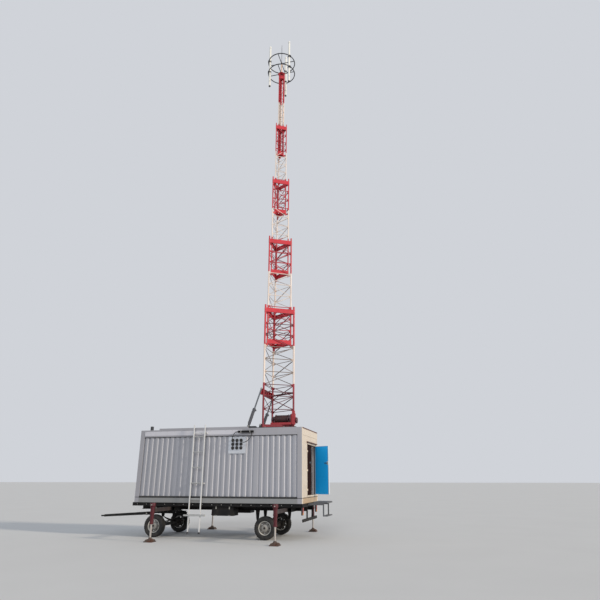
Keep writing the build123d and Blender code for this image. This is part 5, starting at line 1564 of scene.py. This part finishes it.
piece("ladder_rungs", [rungs, tread], TRAILER, "ladder_paint", rung_grey, bevel=0.003)
piece("ladder_grip", grip, TRAILER, "galvanised", step_steel)
shoe = rail_ends[0] - (0, 0, 0.002)
shoes = bars(shoe, shoe + (0, 0, 0.06), rectangle(0.056, 0.042), ALONG)
piece("ladder_shoes", shoes, TRAILER, "port_rubber", cap_black, bevel=0.004)
print("rungs:", len(rung_z))

# %% Port plate and boots
PORT_X0, PORT_X1, PORT_Z0, PORT_Z1 = 3.43, 4.06, 1.59, 2.15
PORT_X, PORT_Z, PORT_PITCH_X, PORT_PITCH_Z = 3.74, 1.905, 0.15, 0.126
plate_back, plate_front = NEAR_FACE_Y + 0.01, NEAR_FACE_Y - 0.002
sheet = boxes(at(PORT_X0, plate_front, PORT_Z0), at(PORT_X1, plate_back, PORT_Z1))
piece("port_plate", sheet, TRAILER, "shelter_paint", plate_grey, ["port_panel"], 0.002)
boot_x = PORT_X + PORT_PITCH_X * np.tile((-1, 0, 1), 3)
boot_z = PORT_Z + PORT_PITCH_Z * np.repeat((-1, 0, 1), 3)
feeders = (boot_z > PORT_Z + 0.1) & (np.abs(boot_x - PORT_X) > 0.1)
boots = []
for x, z, open_port in zip(boot_x, boot_z, feeders):
    neck = 0.016 if open_port else 0.03
    boots.append(spun([
        (0.058, 0.0), (0.058, 0.008), (0.052, 0.012), (0.05, 0.024), (0.045, 0.028),
        (0.044, 0.034), (neck + 0.006, 0.037), (neck, 0.04),
    ], at(x, plate_front, z), (0, -1, 0), 28))
piece("port_boots", boots, TRAILER, "port_rubber", port_black)
edge_x = np.linspace(PORT_X0 + 0.02, PORT_X1 - 0.02, 6)
edge_z = np.linspace(PORT_Z0 + 0.02, PORT_Z1 - 0.02, 5)
plate_bolts = np.array(
    [at(x, plate_front, z) for x in edge_x for z in (edge_z[0], edge_z[-1])]
    + [at(x, plate_front, z) for x in (edge_x[0], edge_x[-1]) for z in edge_z[1:-1]]
)
zinc_piece("port_bolts", heads(plate_bolts, (0, -1, 0), 0.013, 0.006))
print("boots:", len(boots), "bolts:", len(plate_bolts))

# %% [markdown]
# ### Cable tray
# The feeders run into a black covered trough under the roof edge. Its lid overlaps the sides a
# little and two straps hold it shut.

# %% Cable tray
TRAY_X0, TRAY_X1, TRAY_Z0, TRAY_Z1, TRAY_DEPTH = 3.79, 4.34, 2.285, 2.35, 0.1
tray_low = at(TRAY_X0, -HALF_WIDTH - TRAY_DEPTH + 0.003, TRAY_Z0)
tray_high = at(TRAY_X1, -HALF_WIDTH, TRAY_Z1 - 0.022)
lid_low = at(TRAY_X0 - 0.003, -HALF_WIDTH - TRAY_DEPTH, TRAY_Z1 - 0.026)
lid_high = at(TRAY_X1 + 0.003, -HALF_WIDTH, TRAY_Z1)
trough = boxes([tray_low, lid_low], [tray_high, lid_high])
piece("tray_trough", trough, TRAILER, "black_paint", chassis_black_and_shade, ["cable_tray"], 0.004)
strap_x = np.array((TRAY_X0 + 0.1, TRAY_X1 - 0.12))
straps = boxes(
    at(strap_x, -HALF_WIDTH - TRAY_DEPTH - 0.003, TRAY_Z0 - 0.002),
    at(strap_x + 0.022, -HALF_WIDTH, TRAY_Z1 + 0.003),
)
zinc_piece("tray_straps", straps, bevel=0.002)
print("tray length", round(TRAY_X1 - TRAY_X0, 3), "m")

# %% [markdown]
# ## Wheels
# A tyre is a rounded profile carried round the axle. Its shoulder points step in and out from one
# angle to the next, which makes the cross lugs of a trailer tyre, and three grooves run round the
# tread. The rim is a rolled edge and a dished disc with round hand holes. The disc is built from
# equal sectors: in each, rings of points go from the hole's circle to the sector's own outline.

# %% Tyres
WHEEL_RADIUS, TYRE_WIDTH, TRACK_HALF = 0.363, 0.235, 0.95
FRONT_AXLE, REAR_AXLE = 0.727, 4.75
SPAN_COUNT = 144


def tyre(centre):
    """Profile of (across, radius) round the axle; shoulder radii drop by a lug depth in turn."""
    side = np.array([
        (0.025, 0.145), (0.012, 0.133), (0.004, 0.11), (0.0, 0.08), (0.002, 0.052),
        (0.007, 0.034), (0.008, 0.026), (0.016, 0.008), (0.024, 0.003), (0.052, 0.001),
        (0.054, 0.011), (0.062, 0.011), (0.064, 0.0), (0.1075, 0.0), (0.1095, 0.011),
    ])
    side = (TYRE_WIDTH / 2, WHEEL_RADIUS) - side
    profile = np.concatenate([side, side[::-1] * (-1, 1)])
    lug = np.zeros(len(side))
    lug[6:9] = 0.01
    lug = np.concatenate([lug, lug[::-1]])
    turn = np.arange(SPAN_COUNT) * 2 * np.pi / SPAN_COUNT
    cut = (np.arange(SPAN_COUNT) % 4 < 2)[:, None] * lug
    radius = profile[None, :, 1] - cut
    across = np.broadcast_to(profile[None, :, 0], radius.shape)
    cosine, sine = np.cos(turn)[:, None], np.sin(turn)[:, None]
    points = np.stack([radius * cosine, across, radius * sine], axis=-1)
    faces = grid_faces(SPAN_COUNT, len(profile), wrap_rows=True, wrap_columns=True)
    return points.reshape(-1, 3) + centre, [faces]


def wheel_centre(axle, side):
    """The middle of a wheel, on the axle's line."""
    return np.array((axle + SHELTER_X0, side * TRACK_HALF, WHEEL_RADIUS))


print("points in a tyre:", len(tyre(np.zeros(3))[0]))

# %% Rims
HOLE_COUNT, HOLE_RADIUS = 8, 0.019
DISC_INNER, DISC_OUTER, NUT_CIRCLE = 0.106, 0.196, 0.073


def dish(radius):
    """How far the disc stands out at a radius: a smooth step from the hub down to the edge."""
    share = np.clip((DISC_OUTER - radius) / (DISC_OUTER - DISC_INNER), 0, 1)
    return 0.036 + 0.044 * share ** 1.6


def disc_sector(turn, layers=4, steps=6):
    """Rings from a hole's circle to the outline of its sector: (1-t) hole + t outline."""
    middle, half_r = (DISC_INNER + DISC_OUTER) / 2, (DISC_OUTER - DISC_INNER) / 2
    half_turn = math.pi / HOLE_COUNT
    run = np.linspace(-1, 1, steps, endpoint=False)
    one = np.ones(steps)
    corners = ((one, run), (-run, one), (-one, -run), (run, -one))
    outline = np.concatenate([np.stack(pair, axis=1) for pair in corners])
    half_arc = half_turn * middle
    angle = np.arctan2(outline[:, 1] * half_arc, outline[:, 0] * half_r)
    hole = HOLE_RADIUS * np.stack([np.cos(angle) / half_r, np.sin(angle) / half_arc], axis=1)
    share = np.linspace(0, 1, layers)[:, None, None]
    local = hole * (1 - share) + outline * share
    radius = middle + local[..., 0] * half_r
    bearing = turn + local[..., 1] * half_turn
    return radius, bearing


def rim_disc(centre, side):
    """Both faces of the holed disc, joined by walls in the holes; the disc is 6 mm thick."""
    shapes = []
    for sector in range(HOLE_COUNT):
        radius, bearing = disc_sector(sector * 2 * math.pi / HOLE_COUNT)
        front = dish(radius)
        rings_of_points = [
            np.stack([radius * np.cos(bearing), side * out, radius * np.sin(bearing)], axis=-1)
            for out in (front, front - 0.006)
        ]
        loop = np.concatenate([rings_of_points[0][::-1], rings_of_points[1]])
        faces = grid_faces(len(loop), loop.shape[1], wrap_rows=True, wrap_columns=True)
        shapes.append((loop.reshape(-1, 3) + centre, [faces[:, ::-1] if side > 0 else faces]))
    return joined(*shapes)


def rim(centre, side):
    """The rolled edge with its well, and the hub that the disc is bolted to."""
    edge = [
        (0.1945, -0.0925), (0.213, -0.0925), (0.2175, -0.088), (0.2175, -0.07), (0.2, -0.058),
        (0.2, 0.058), (0.2175, 0.07), (0.2175, 0.088), (0.213, 0.0925), (0.205, 0.0925),
        (0.203, 0.086), (0.209, 0.08), (0.209, 0.074), (0.1945, 0.06), (0.1945, -0.06),
        (0.208, -0.072), (0.208, -0.08),
    ]
    hub = [
        (0.0385, -0.04), (0.088, -0.04), (0.106, 0.02), (0.108, 0.072), (0.104, 0.08),
        (0.09, 0.082), (0.086, 0.084), (0.06, 0.088), (0.056, 0.094), (0.056, 0.106),
        (0.05, 0.112), (0.0385, 0.112),
    ]
    return turned(edge, centre, (0, side, 0), 48), turned(hub, centre, (0, side, 0), 36)


def wheel_nuts(centre, side):
    """Eight nuts on a circle round the hub, and the studs that stand out of them."""
    turn = np.arange(8) * math.pi / 4 + 0.2
    across, up = NUT_CIRCLE * np.cos(turn), NUT_CIRCLE * np.sin(turn)
    places = centre + np.stack([across, np.full(8, side * 0.083), up], axis=1)
    out = (0, side, 0)
    return joined(heads(places, out, 0.022, 0.014), heads(places, out, 0.01, 0.022, 8))


hub_cap = [
    (AXIS_GAP, 0.1), (0.037, 0.1), (0.037, 0.111), (0.03, 0.117), (AXIS_GAP, 0.1175),
]
for end, axle in (("front", FRONT_AXLE), ("rear", REAR_AXLE)):
    for place, side in SIDES:
        label, centre = "%s_%s" % (end, place), wheel_centre(axle, side)
        body = "wheel_" + label
        edge, hub = rim(centre, side)
        cap = turned(hub_cap, centre, (0, side, 0), 24)
        for part, shape, slot, finish, nodes in (
            ("tread", tyre(centre), "tyre_rubber", tyre_black, ["tyre_" + label]),
            ("rim_edge", edge, "rim_paint", rim_grey, ["rim_" + label]),
            ("hub", hub, "rim_paint", hub_grey, []),
            ("disc", rim_disc(centre, side), "rim_paint", disc_grey, []),
            ("nuts", wheel_nuts(centre, side), "galvanised", zinc_bolt, []),
            ("hub_cap", cap, "black_paint", axle_dark, []),
        ):
            piece("%s_%s" % (part, label), shape, body, slot, finish, nodes)
print("wheels: 4, nuts on each: 8")

# %% [markdown]
# ## Axles and springs
# Each axle is a square tube that hangs on two packs of leaf springs. A pack is a stack of curved
# strips, each shorter than the one above, and each follows the same parabola: its height is the
# rise times the square of the share of the half length. U-bolts clamp the pack to the axle, and
# plate hangers carry its two ends. Brake drums sit behind the wheels.

# %% Spring packs
AXLE_TOP = WHEEL_RADIUS + 0.05
SPRING_Y, SPRING_HALF, SPRING_WIDTH, SPRING_RISE = 0.43, 0.45, 0.076, 0.105
LEAF_COUNT, LEAF_STEP = 7, 0.01
EYE_HEIGHT = AXLE_TOP + 0.18


def spring_pack(x):
    """Seven leaves: at a share s along, the height is the middle's plus rise times s squared."""
    shapes = []
    share = np.linspace(-1, 1, 15)
    spring_eye = [(0.016, -0.038), (0.026, -0.038), (0.026, 0.038), (0.016, 0.038)]
    for side in (-1, 1):
        for leaf in range(LEAF_COUNT):
            along = share * (SPRING_HALF * (1 - leaf / 8.5))
            base = AXLE_TOP + 0.065 - leaf * LEAF_STEP
            height = base + SPRING_RISE * (along / SPRING_HALF) ** 2
            path = np.stack([x + along, np.full(15, side * SPRING_Y), height], axis=1)
            shapes.append(swept(path, rectangle(SPRING_WIDTH, LEAF_STEP - 0.0012), UP))
        for end in (-SPRING_HALF, SPRING_HALF):
            centre = (x + end, side * SPRING_Y, EYE_HEIGHT - 0.01)
            shapes.append(turned(spring_eye, centre, SIDEWAYS, 20))
    return joined(*shapes)


def spring_clamps(x):
    """Top plates, bottom plates and the four legs of two U-bolts at each spring."""
    shapes = []
    for side in (-1, 1):
        y = side * SPRING_Y
        low = np.array((x - 0.075, y - 0.055, AXLE_TOP + 0.071))
        legs = np.array([
            (x + dx, y + dy, AXLE_TOP - 0.125) for dx in (-0.052, 0.052) for dy in (-0.044, 0.044)
        ])
        shapes += [
            block(low, (0.15, 0.11, 0.014)),
            boxes(low - (0, 0, 0.19), low + (0.15, 0.11, -0.178)),
            bars(legs, legs + (0, 0, 0.222), circle(0.007, 8), ALONG),
            heads(legs + (0, 0, 0.21), UP, 0.022, 0.012),
        ]
    return joined(*shapes)


def hangers(x, top):
    """Tapered plate pairs from the frame down to each spring eye, with a pin through."""
    shapes = []
    base = top - SHELTER_Z0
    for y in (-SPRING_Y, SPRING_Y):
        for end in (-SPRING_HALF, SPRING_HALF):
            centre = np.array((x + end, EYE_HEIGHT - 0.01)) - SHELTER[[0, 2]]
            outline = tongue(centre, 0.03, (centre[0] + 0.06, base), (centre[0] - 0.06, base))
            for low in (-0.05, 0.04):
                shapes.append(plate(outline, y + low, y + low + 0.01))
            ends = [(x + end, y + reach, EYE_HEIGHT - 0.01) for reach in (-0.06, 0.06)]
            shapes.append(bars(*ends, circle(0.015, 12)))
    return joined(*shapes)


def axle_tube(x):
    """The square axle with its round stubs, and a ribbed brake drum at each end."""
    inner = TRACK_HALF - TYRE_WIDTH / 2 - 0.04
    middle = (x, 0, WHEEL_RADIUS)
    shapes = [
        bars((x, -inner, WHEEL_RADIUS), (x, inner, WHEEL_RADIUS), rectangle(0.1, 0.1)),
        spun([(0.038, -1.01), (0.038, 1.01)], middle, SIDEWAYS, 24),
    ]
    drum_profile = [
        (0.05, 0.7), (0.15, 0.7), (0.158, 0.706), (0.158, 0.722), (0.152, 0.728),
        (0.152, 0.75), (0.158, 0.754), (0.158, 0.772), (0.15, 0.78), (0.15, 0.826),
        (0.05, 0.826),
    ]
    for side in (-1, 1):
        shapes.append(turned(drum_profile, middle, (0, side, 0), 36))
    return joined(*shapes)


print("leaves in a pack:", LEAF_COUNT, "rise:", SPRING_RISE, "m")

# %% Rear axle and front bogie
CHASSIS_LOW = SHELTER_Z0 - 0.25
rear_x, front_x = REAR_AXLE + SHELTER_X0, FRONT_AXLE + SHELTER_X0
RING_TOP = CHASSIS_LOW - 0.0303
BOGIE_TOP = RING_TOP - 0.1
DRAW_X, DRAW_Z = 0.11, -0.4

turntable = turned([
    (0.35, -0.03), (0.436, -0.03), (0.44, -0.026), (0.44, -0.004), (0.436, 0.0), (0.35, 0.0),
], (front_x, 0, RING_TOP), UP, 56)
bolt_turn = np.arange(16) * math.pi / 8
bolt_rows = (front_x + 0.395 * np.cos(bolt_turn), 0.395 * np.sin(bolt_turn))
ring_bolts = np.stack([*bolt_rows, np.full(16, RING_TOP - 0.03)], axis=1)
bolster = np.array((front_x, 0, RING_TOP - 0.035))
bogie_frame = [turntable, bars(
    bolster - (0, 0.485, 0), bolster + (0, 0.485, 0), channel(0.12, 0.068, 0.01),
)]
for y in (-SPRING_Y, SPRING_Y):
    rail_ends = [(front_x + reach, y, RING_TOP - 0.085) for reach in (-0.51, 0.51)]
    bogie_frame.append(bars(*rail_ends, channel(0.11, 0.05, 0.008)))
for reach in (-0.3, 0.3):
    cross = np.array((front_x + reach, 0, RING_TOP - 0.06))
    ends = [cross - (0, 0.43, 0), cross + (0, 0.43, 0)]
    bogie_frame.append(bars(*ends, rectangle(0.06, 0.05)))

draw_cheeks, draw_pins = [], []
draw_cheek = tongue((DRAW_X, DRAW_Z), 0.05, (DRAW_X + 0.12, DRAW_Z - 0.039),
                    (DRAW_X + 0.12, DRAW_Z + 0.049))
for y in (-SPRING_Y, SPRING_Y):
    draw_cheeks += [plate(draw_cheek, y + low, y + low + 0.02) for low in (-0.062, 0.042)]
    draw_pins.append(pin(DRAW_X, DRAW_Z, y - 0.074, y + 0.074, 0.0198, 0.028))
    low = at(DRAW_X + 0.11, y - 0.062, DRAW_Z - 0.045)
    draw_cheeks.append(block(low, (0.07, 0.124, 0.1)))

for end, x, body, top, nodes in (
    ("rear", rear_x, TRAILER, CHASSIS_LOW, ["rear_axle"]),
    ("front", front_x, "bogie", BOGIE_TOP, []),
):
    if end == "front":
        piece(
            "bogie_frame", bogie_frame, body, "dark_steel", chassis_black_and_shade, ["front_bogie"], 0.002,
        )
        zinc_piece("bogie_bolts", heads(ring_bolts, (0, 0, -1), 0.024, 0.012), body)
    hung_parts = [spring_clamps(x), hangers(x, top)]
    piece("axle_" + end, axle_tube(x), body, "dark_steel", axle_dark, nodes, 0.003)
    piece("springs_" + end, spring_pack(x), body, "dark_steel", axle_dark)
    piece("hangers_" + end, hung_parts, body, "black_paint", chassis_black_and_shade, bevel=0.001)
piece("drawbar_cheeks", draw_cheeks, "bogie", "dark_steel", chassis_black_and_shade, bevel=0.002)
zinc_piece("drawbar_pins", draw_pins, "bogie")
print("turntable bolts:", len(ring_bolts))

# %% [markdown]
# ## Chassis, drawbar and the things hung under the box
# The two long rails, the cross bearers and the A-shaped drawbar keep their solids, with paint and
# eased edges. Added here are bolt rows, lamps with separate lenses, and tool boxes with doors,
# hinges and latches.

# %% Chassis and drawbar
for node, finish, edge in (
    ("chassis_frame", chassis_black_and_shade, 0.003), ("drawbar", chassis_black_and_shade, 0.004),
    ("rear_bumper", chassis_black_and_shade, 0.004), ("mast_rest", roof_steel, 0.004),
):
    dress(node, finish, edge)
RAIL_FACE_Y = 1.159
bolt_x = np.arange(0.1, 6.0, 0.35)
chassis_bolts = [
    heads(at(bolt_x, side * RAIL_FACE_Y, -0.055), (0, side, 0), 0.024, 0.01) for side in (-1, 1)
]
zinc_piece("chassis_bolts", chassis_bolts)
print("rail bolts:", 2 * len(bolt_x))

# %% Lamps
lamp_shapes, red_lens, amber_lens = [], [], []
for y in (-1.1, 0.98):
    low = at(5.998, y, -0.35)
    lamp_shapes.append(block(low, (0.05, 0.12, 0.24)))
    for lift, target in ((0.012, amber_lens), (0.088, red_lens), (0.164, red_lens)):
        lens = boxes(low + (0.048, 0.01, lift), low + (0.06, 0.11, lift + 0.068))
        target.append(lens)
piece("lamp_housings", lamp_shapes, TRAILER, "black_paint", lamp_housing, bevel=0.004)
piece("lamp_red", red_lens, TRAILER, "lamp_lens", lens_red, ["tail_lamps"], 0.005)
piece("lamp_amber", amber_lens, TRAILER, "lamp_lens", lens_amber, bevel=0.005)

# %% Tool boxes
BOX_FACE = 1.094
box_shapes, box_steel = [], []


def side_box(side, x0, y0, z0, x1, y1, z1):
    """A box hung on one side of the chassis, from the distances y0 to y1 off the middle."""
    near_y, far_y = sorted((side * y0, side * y1))
    return boxes(at(x0, near_y, z0), at(x1, far_y, z1))


for side in (-1, 1):
    box_shapes += [
        side_box(side, 2.9, 0.62, -0.4, 3.66, BOX_FACE, -0.11),
        side_box(side, 2.918, BOX_FACE, -0.384, 3.642, BOX_FACE + 0.006, -0.126),
    ]
    for x in (3.02, 3.5):
        hinge = at(x - 0.02, side * BOX_FACE + side * 0.008, -0.386)
        box_steel += [
            side_box(side, x, BOX_FACE + 0.004, -0.19, x + 0.04, BOX_FACE + 0.018, -0.11),
            bars(hinge, hinge + (0.08, 0, 0), circle(0.007, 10)),
        ]
piece("tool_box_shells", box_shapes, TRAILER, "black_paint", chassis_black_and_shade, ["tool_boxes"], 0.006)
zinc_piece("tool_box_latches", box_steel, bevel=0.002)
print("lamps: 2, tool boxes: 2")

# %% [markdown]
# ## Outriggers
# Each black arm slides in a casing across the chassis and ends in an upright red tube, whose red
# is painted dark as painted shade. A screw jack runs in the tube: its head has a bevel gear case
# with a crank stub, and the bright leg below ends in a cone on a square foot plate. The foot is
# two plates with corner ribs up to the cone.

# %% Outriggers
ARM_STATIONS = {"front": 1.35, "rear": 5.49}
ARM_PITCH, ARM_SIZE, ARM_LOW, ARM_INNER = 0.13, 0.11, -0.242, 0.86
JACK_Y, JACK_RADIUS, JACK_BORE = 2.32, 0.065, 0.05
JACK_TOP, JACK_STEP, JACK_LOW = 0.04, -0.33, -0.6
JACK_ROD, JACK_SLIM, CRANK_Z = 0.031, 0.056, JACK_TOP - 0.066


def arm_beam(x, side):
    """The sliding box arm with its end gussets."""
    start, end = (
        at(x, side * y, ARM_LOW + ARM_SIZE / 2) for y in (ARM_INNER, JACK_Y - JACK_RADIUS + 0.01)
    )
    shapes = [bars(start, end, rectangle(ARM_SIZE, ARM_SIZE))]
    for lift in (-0.004, ARM_SIZE - 0.008):
        low = at(x - 0.05, min(side * 2.15, side * 2.26), ARM_LOW + lift)
        shapes.append(block(low, (0.1, 0.11, 0.012)))
    return shapes


def jack_tube(x, side):
    """The jack's stepped tube with its two collars and its gear case."""
    line = at(x, side * JACK_Y, 0)
    profile = [
        (JACK_BORE, JACK_LOW), (0.064, JACK_LOW), (0.064, JACK_LOW + 0.045),
        (JACK_SLIM, JACK_LOW + 0.052), (JACK_SLIM, JACK_STEP), (JACK_RADIUS, JACK_STEP + 0.012),
        (JACK_RADIUS, JACK_TOP - 0.12), (0.086, JACK_TOP - 0.112), (0.088, JACK_TOP - 0.02),
        (0.08, JACK_TOP - 0.004), (0.03, JACK_TOP), (AXIS_GAP, JACK_TOP),
        (AXIS_GAP, JACK_TOP - 0.06), (JACK_BORE, JACK_TOP - 0.06),
    ]
    collar = [(0.064, -0.02), (0.072, -0.02), (0.072, 0.02), (0.064, 0.02)]
    levels = (ARM_LOW - 0.03, ARM_LOW + ARM_SIZE + 0.03)
    collars = [turned(collar, line + (0, 0, level), UP, 36) for level in levels]
    return [turned(profile, line, UP, 36), *collars]


def crank(x, side):
    """The crank stub and its cross pin on the gear case, and the arm's stop pin."""
    stub = turned([
        (AXIS_GAP, 0.07), (0.02, 0.07), (0.02, 0.088), (0.011, 0.092), (0.011, 0.128),
        (AXIS_GAP, 0.13),
    ], at(x, side * JACK_Y, CRANK_Z), (0, side, 0), 16)
    cross = at(x, side * (JACK_Y + 0.116), CRANK_Z)
    stop_pin = turned([
        (AXIS_GAP, -0.002), (0.014, -0.002), (0.014, 0.012), (0.007, 0.014), (0.007, 0.034),
        (AXIS_GAP, 0.036),
    ], at(x, side * 2.11, ARM_LOW + ARM_SIZE), UP, 16)
    handle = bars(cross - (0, 0, 0.02), cross + (0, 0, 0.02), circle(0.004, 8), ALONG)
    return [stub, handle, stop_pin]


def jack_rod(x, side):
    """The bright leg: piston head inside the tube and the plain shank below."""
    profile = [
        (JACK_ROD, 0.07), (JACK_ROD, 0.67), (JACK_BORE - 0.001, 0.672),
        (JACK_BORE - 0.001, 0.77),
    ]
    return spun(profile, (x + SHELTER_X0, side * JACK_Y, 0), UP, 28)


def jack_foot(x, side):
    """Two stacked plates, the cone that takes the leg, and four ribs that lean in to it."""
    centre = np.array((x + SHELTER_X0, side * JACK_Y, 0))
    plates = boxes(
        centre + np.array([(-0.145, -0.145, 0), (-0.12, -0.12, 0.028)]),
        centre + np.array([(0.145, 0.145, 0.03), (0.12, 0.12, 0.056)]),
    )
    turn = np.radians((45, 135, 225, 315))
    out = np.stack([np.cos(turn), np.sin(turn), np.zeros(4)], axis=1)
    ends = (centre + out * 0.155 + (0, 0, 0.052), centre + out * 0.03 + (0, 0, 0.086))
    cone = [(0.092, 0.052), (0.092, 0.06), (0.044, 0.118), (0.044, 0.134)]
    return [plates, bars(*ends, rectangle(0.01, 0.034)), spun(cone, centre, UP, 28)]


for end, station in ARM_STATIONS.items():
    for place, side in SIDES:
        label, x = "%s_%s" % (end, place), station + (ARM_PITCH if side > 0 else 0)
        arm, jack = "arm_" + label, "jack_" + label
        beam, nodes = arm_beam(x, side), ["outrigger_" + arm]
        piece(arm + "_beam", beam, arm, "black_paint", arm_black, nodes, 0.004)
        piece(arm + "_tube", jack_tube(x, side), arm, "red_paint", jack_red_shaded)
        zinc_piece(arm + "_crank", crank(x, side), arm)
        rod, nodes = jack_rod(x, side), ["jack_leg_" + label]
        piece(jack + "_rod", rod, jack, "chrome_steel", jack_steel, nodes)
        piece(jack + "_foot", jack_foot(x, side), jack, "dark_steel", foot_steel, bevel=0.003)
print("outriggers: 4")

# %% [markdown]
# ## Floor, backdrop and light
# A pale floor and a pale backdrop come from their own colours and never from more light on the
# object. The photograph has low warm light from the door end and a cool sky in front, so there is
# one soft warm sun from that end, a weaker cool one from the front, and an even pale world.

# %% Floor and light
FLOOR_HALF = 400.0
BACKDROP_COLOUR = linear(208, 211, 217)
FLOOR_COLOUR = linear(206, 204, 200)


def stage_floor():
    """A wide flat floor just under the jack feet."""
    corners = np.array([(-1, -1, 0), (1, -1, 0), (1, 1, 0), (-1, 1, 0)]) * FLOOR_HALF
    mesh = bpy.data.meshes.new("floor")
    mesh.from_pydata(corners - (0, 0, 0.001), [], [(0, 1, 2, 3)])
    made = bpy.data.objects.new("stage_floor", mesh)
    scene.collection.objects.link(made)
    finish, tree, shader, place = new_finish("floor_finish", 0.9)
    tone = ranged(tree, noise(tree, place, 0.4), 0.3, 0.7)
    base = mixed(tree, tone, shaded(FLOOR_COLOUR, 0.97), FLOOR_COLOUR)
    coat(tree, shader, base)
    mesh.materials.append(finish)
    return made


def soft_sun(name, energy, colour, direction, angle):
    """A distant lamp that shines along a direction, with a soft edge to its shadows."""
    lamp = bpy.data.lights.new(name, "SUN")
    lamp.energy = energy
    lamp.color = colour
    lamp.angle = math.radians(angle)
    made = bpy.data.objects.new(name, lamp)
    made.rotation_mode = "QUATERNION"
    made.rotation_quaternion = Vector(direction).to_track_quat("-Z", "Y")
    scene.collection.objects.link(made)
    return made


def pale_world():
    """An even sky: cool light on the object, and the backdrop colour where it is seen directly."""
    world = bpy.data.worlds.new("sky")
    world.use_nodes = True
    tree = world.node_tree
    output = tree.nodes["World Output"]
    light = tree.nodes["Background"]
    light.inputs["Color"].default_value = linear(214, 224, 240)
    light.inputs["Strength"].default_value = 0.6
    seen = add_node(tree, "ShaderNodeBackground", {"Color": BACKDROP_COLOUR, "Strength": 1.0})
    ray = add_node(tree, "ShaderNodeLightPath").outputs
    direct = calculated(tree, "MAXIMUM", ray["Is Camera Ray"], ray["Is Glossy Ray"])
    direct = calculated(tree, "MAXIMUM", direct, ray["Is Transmission Ray"])
    links = {0: direct, 1: light.outputs[0], 2: seen.outputs[0]}
    choice = add_node(tree, "ShaderNodeMixShader", links)
    tree.links.new(choice.outputs[0], output.inputs["Surface"])
    scene.world = world


stage_floor()
soft_sun("warm_sun", 2.4, (1.0, 0.9, 0.76), (-0.92, 0.2, -0.34), 5)
soft_sun("front_sky", 0.95, (0.92, 0.96, 1.0), (-0.1, 0.87, -0.48), 24)
pale_world()

# %% [markdown]
# ## The count of pieces
# Dressing the model must not change its size. The frame closes by printing how many pieces were
# made.

# %% Finish
print("pieces made:", len(made_pieces))
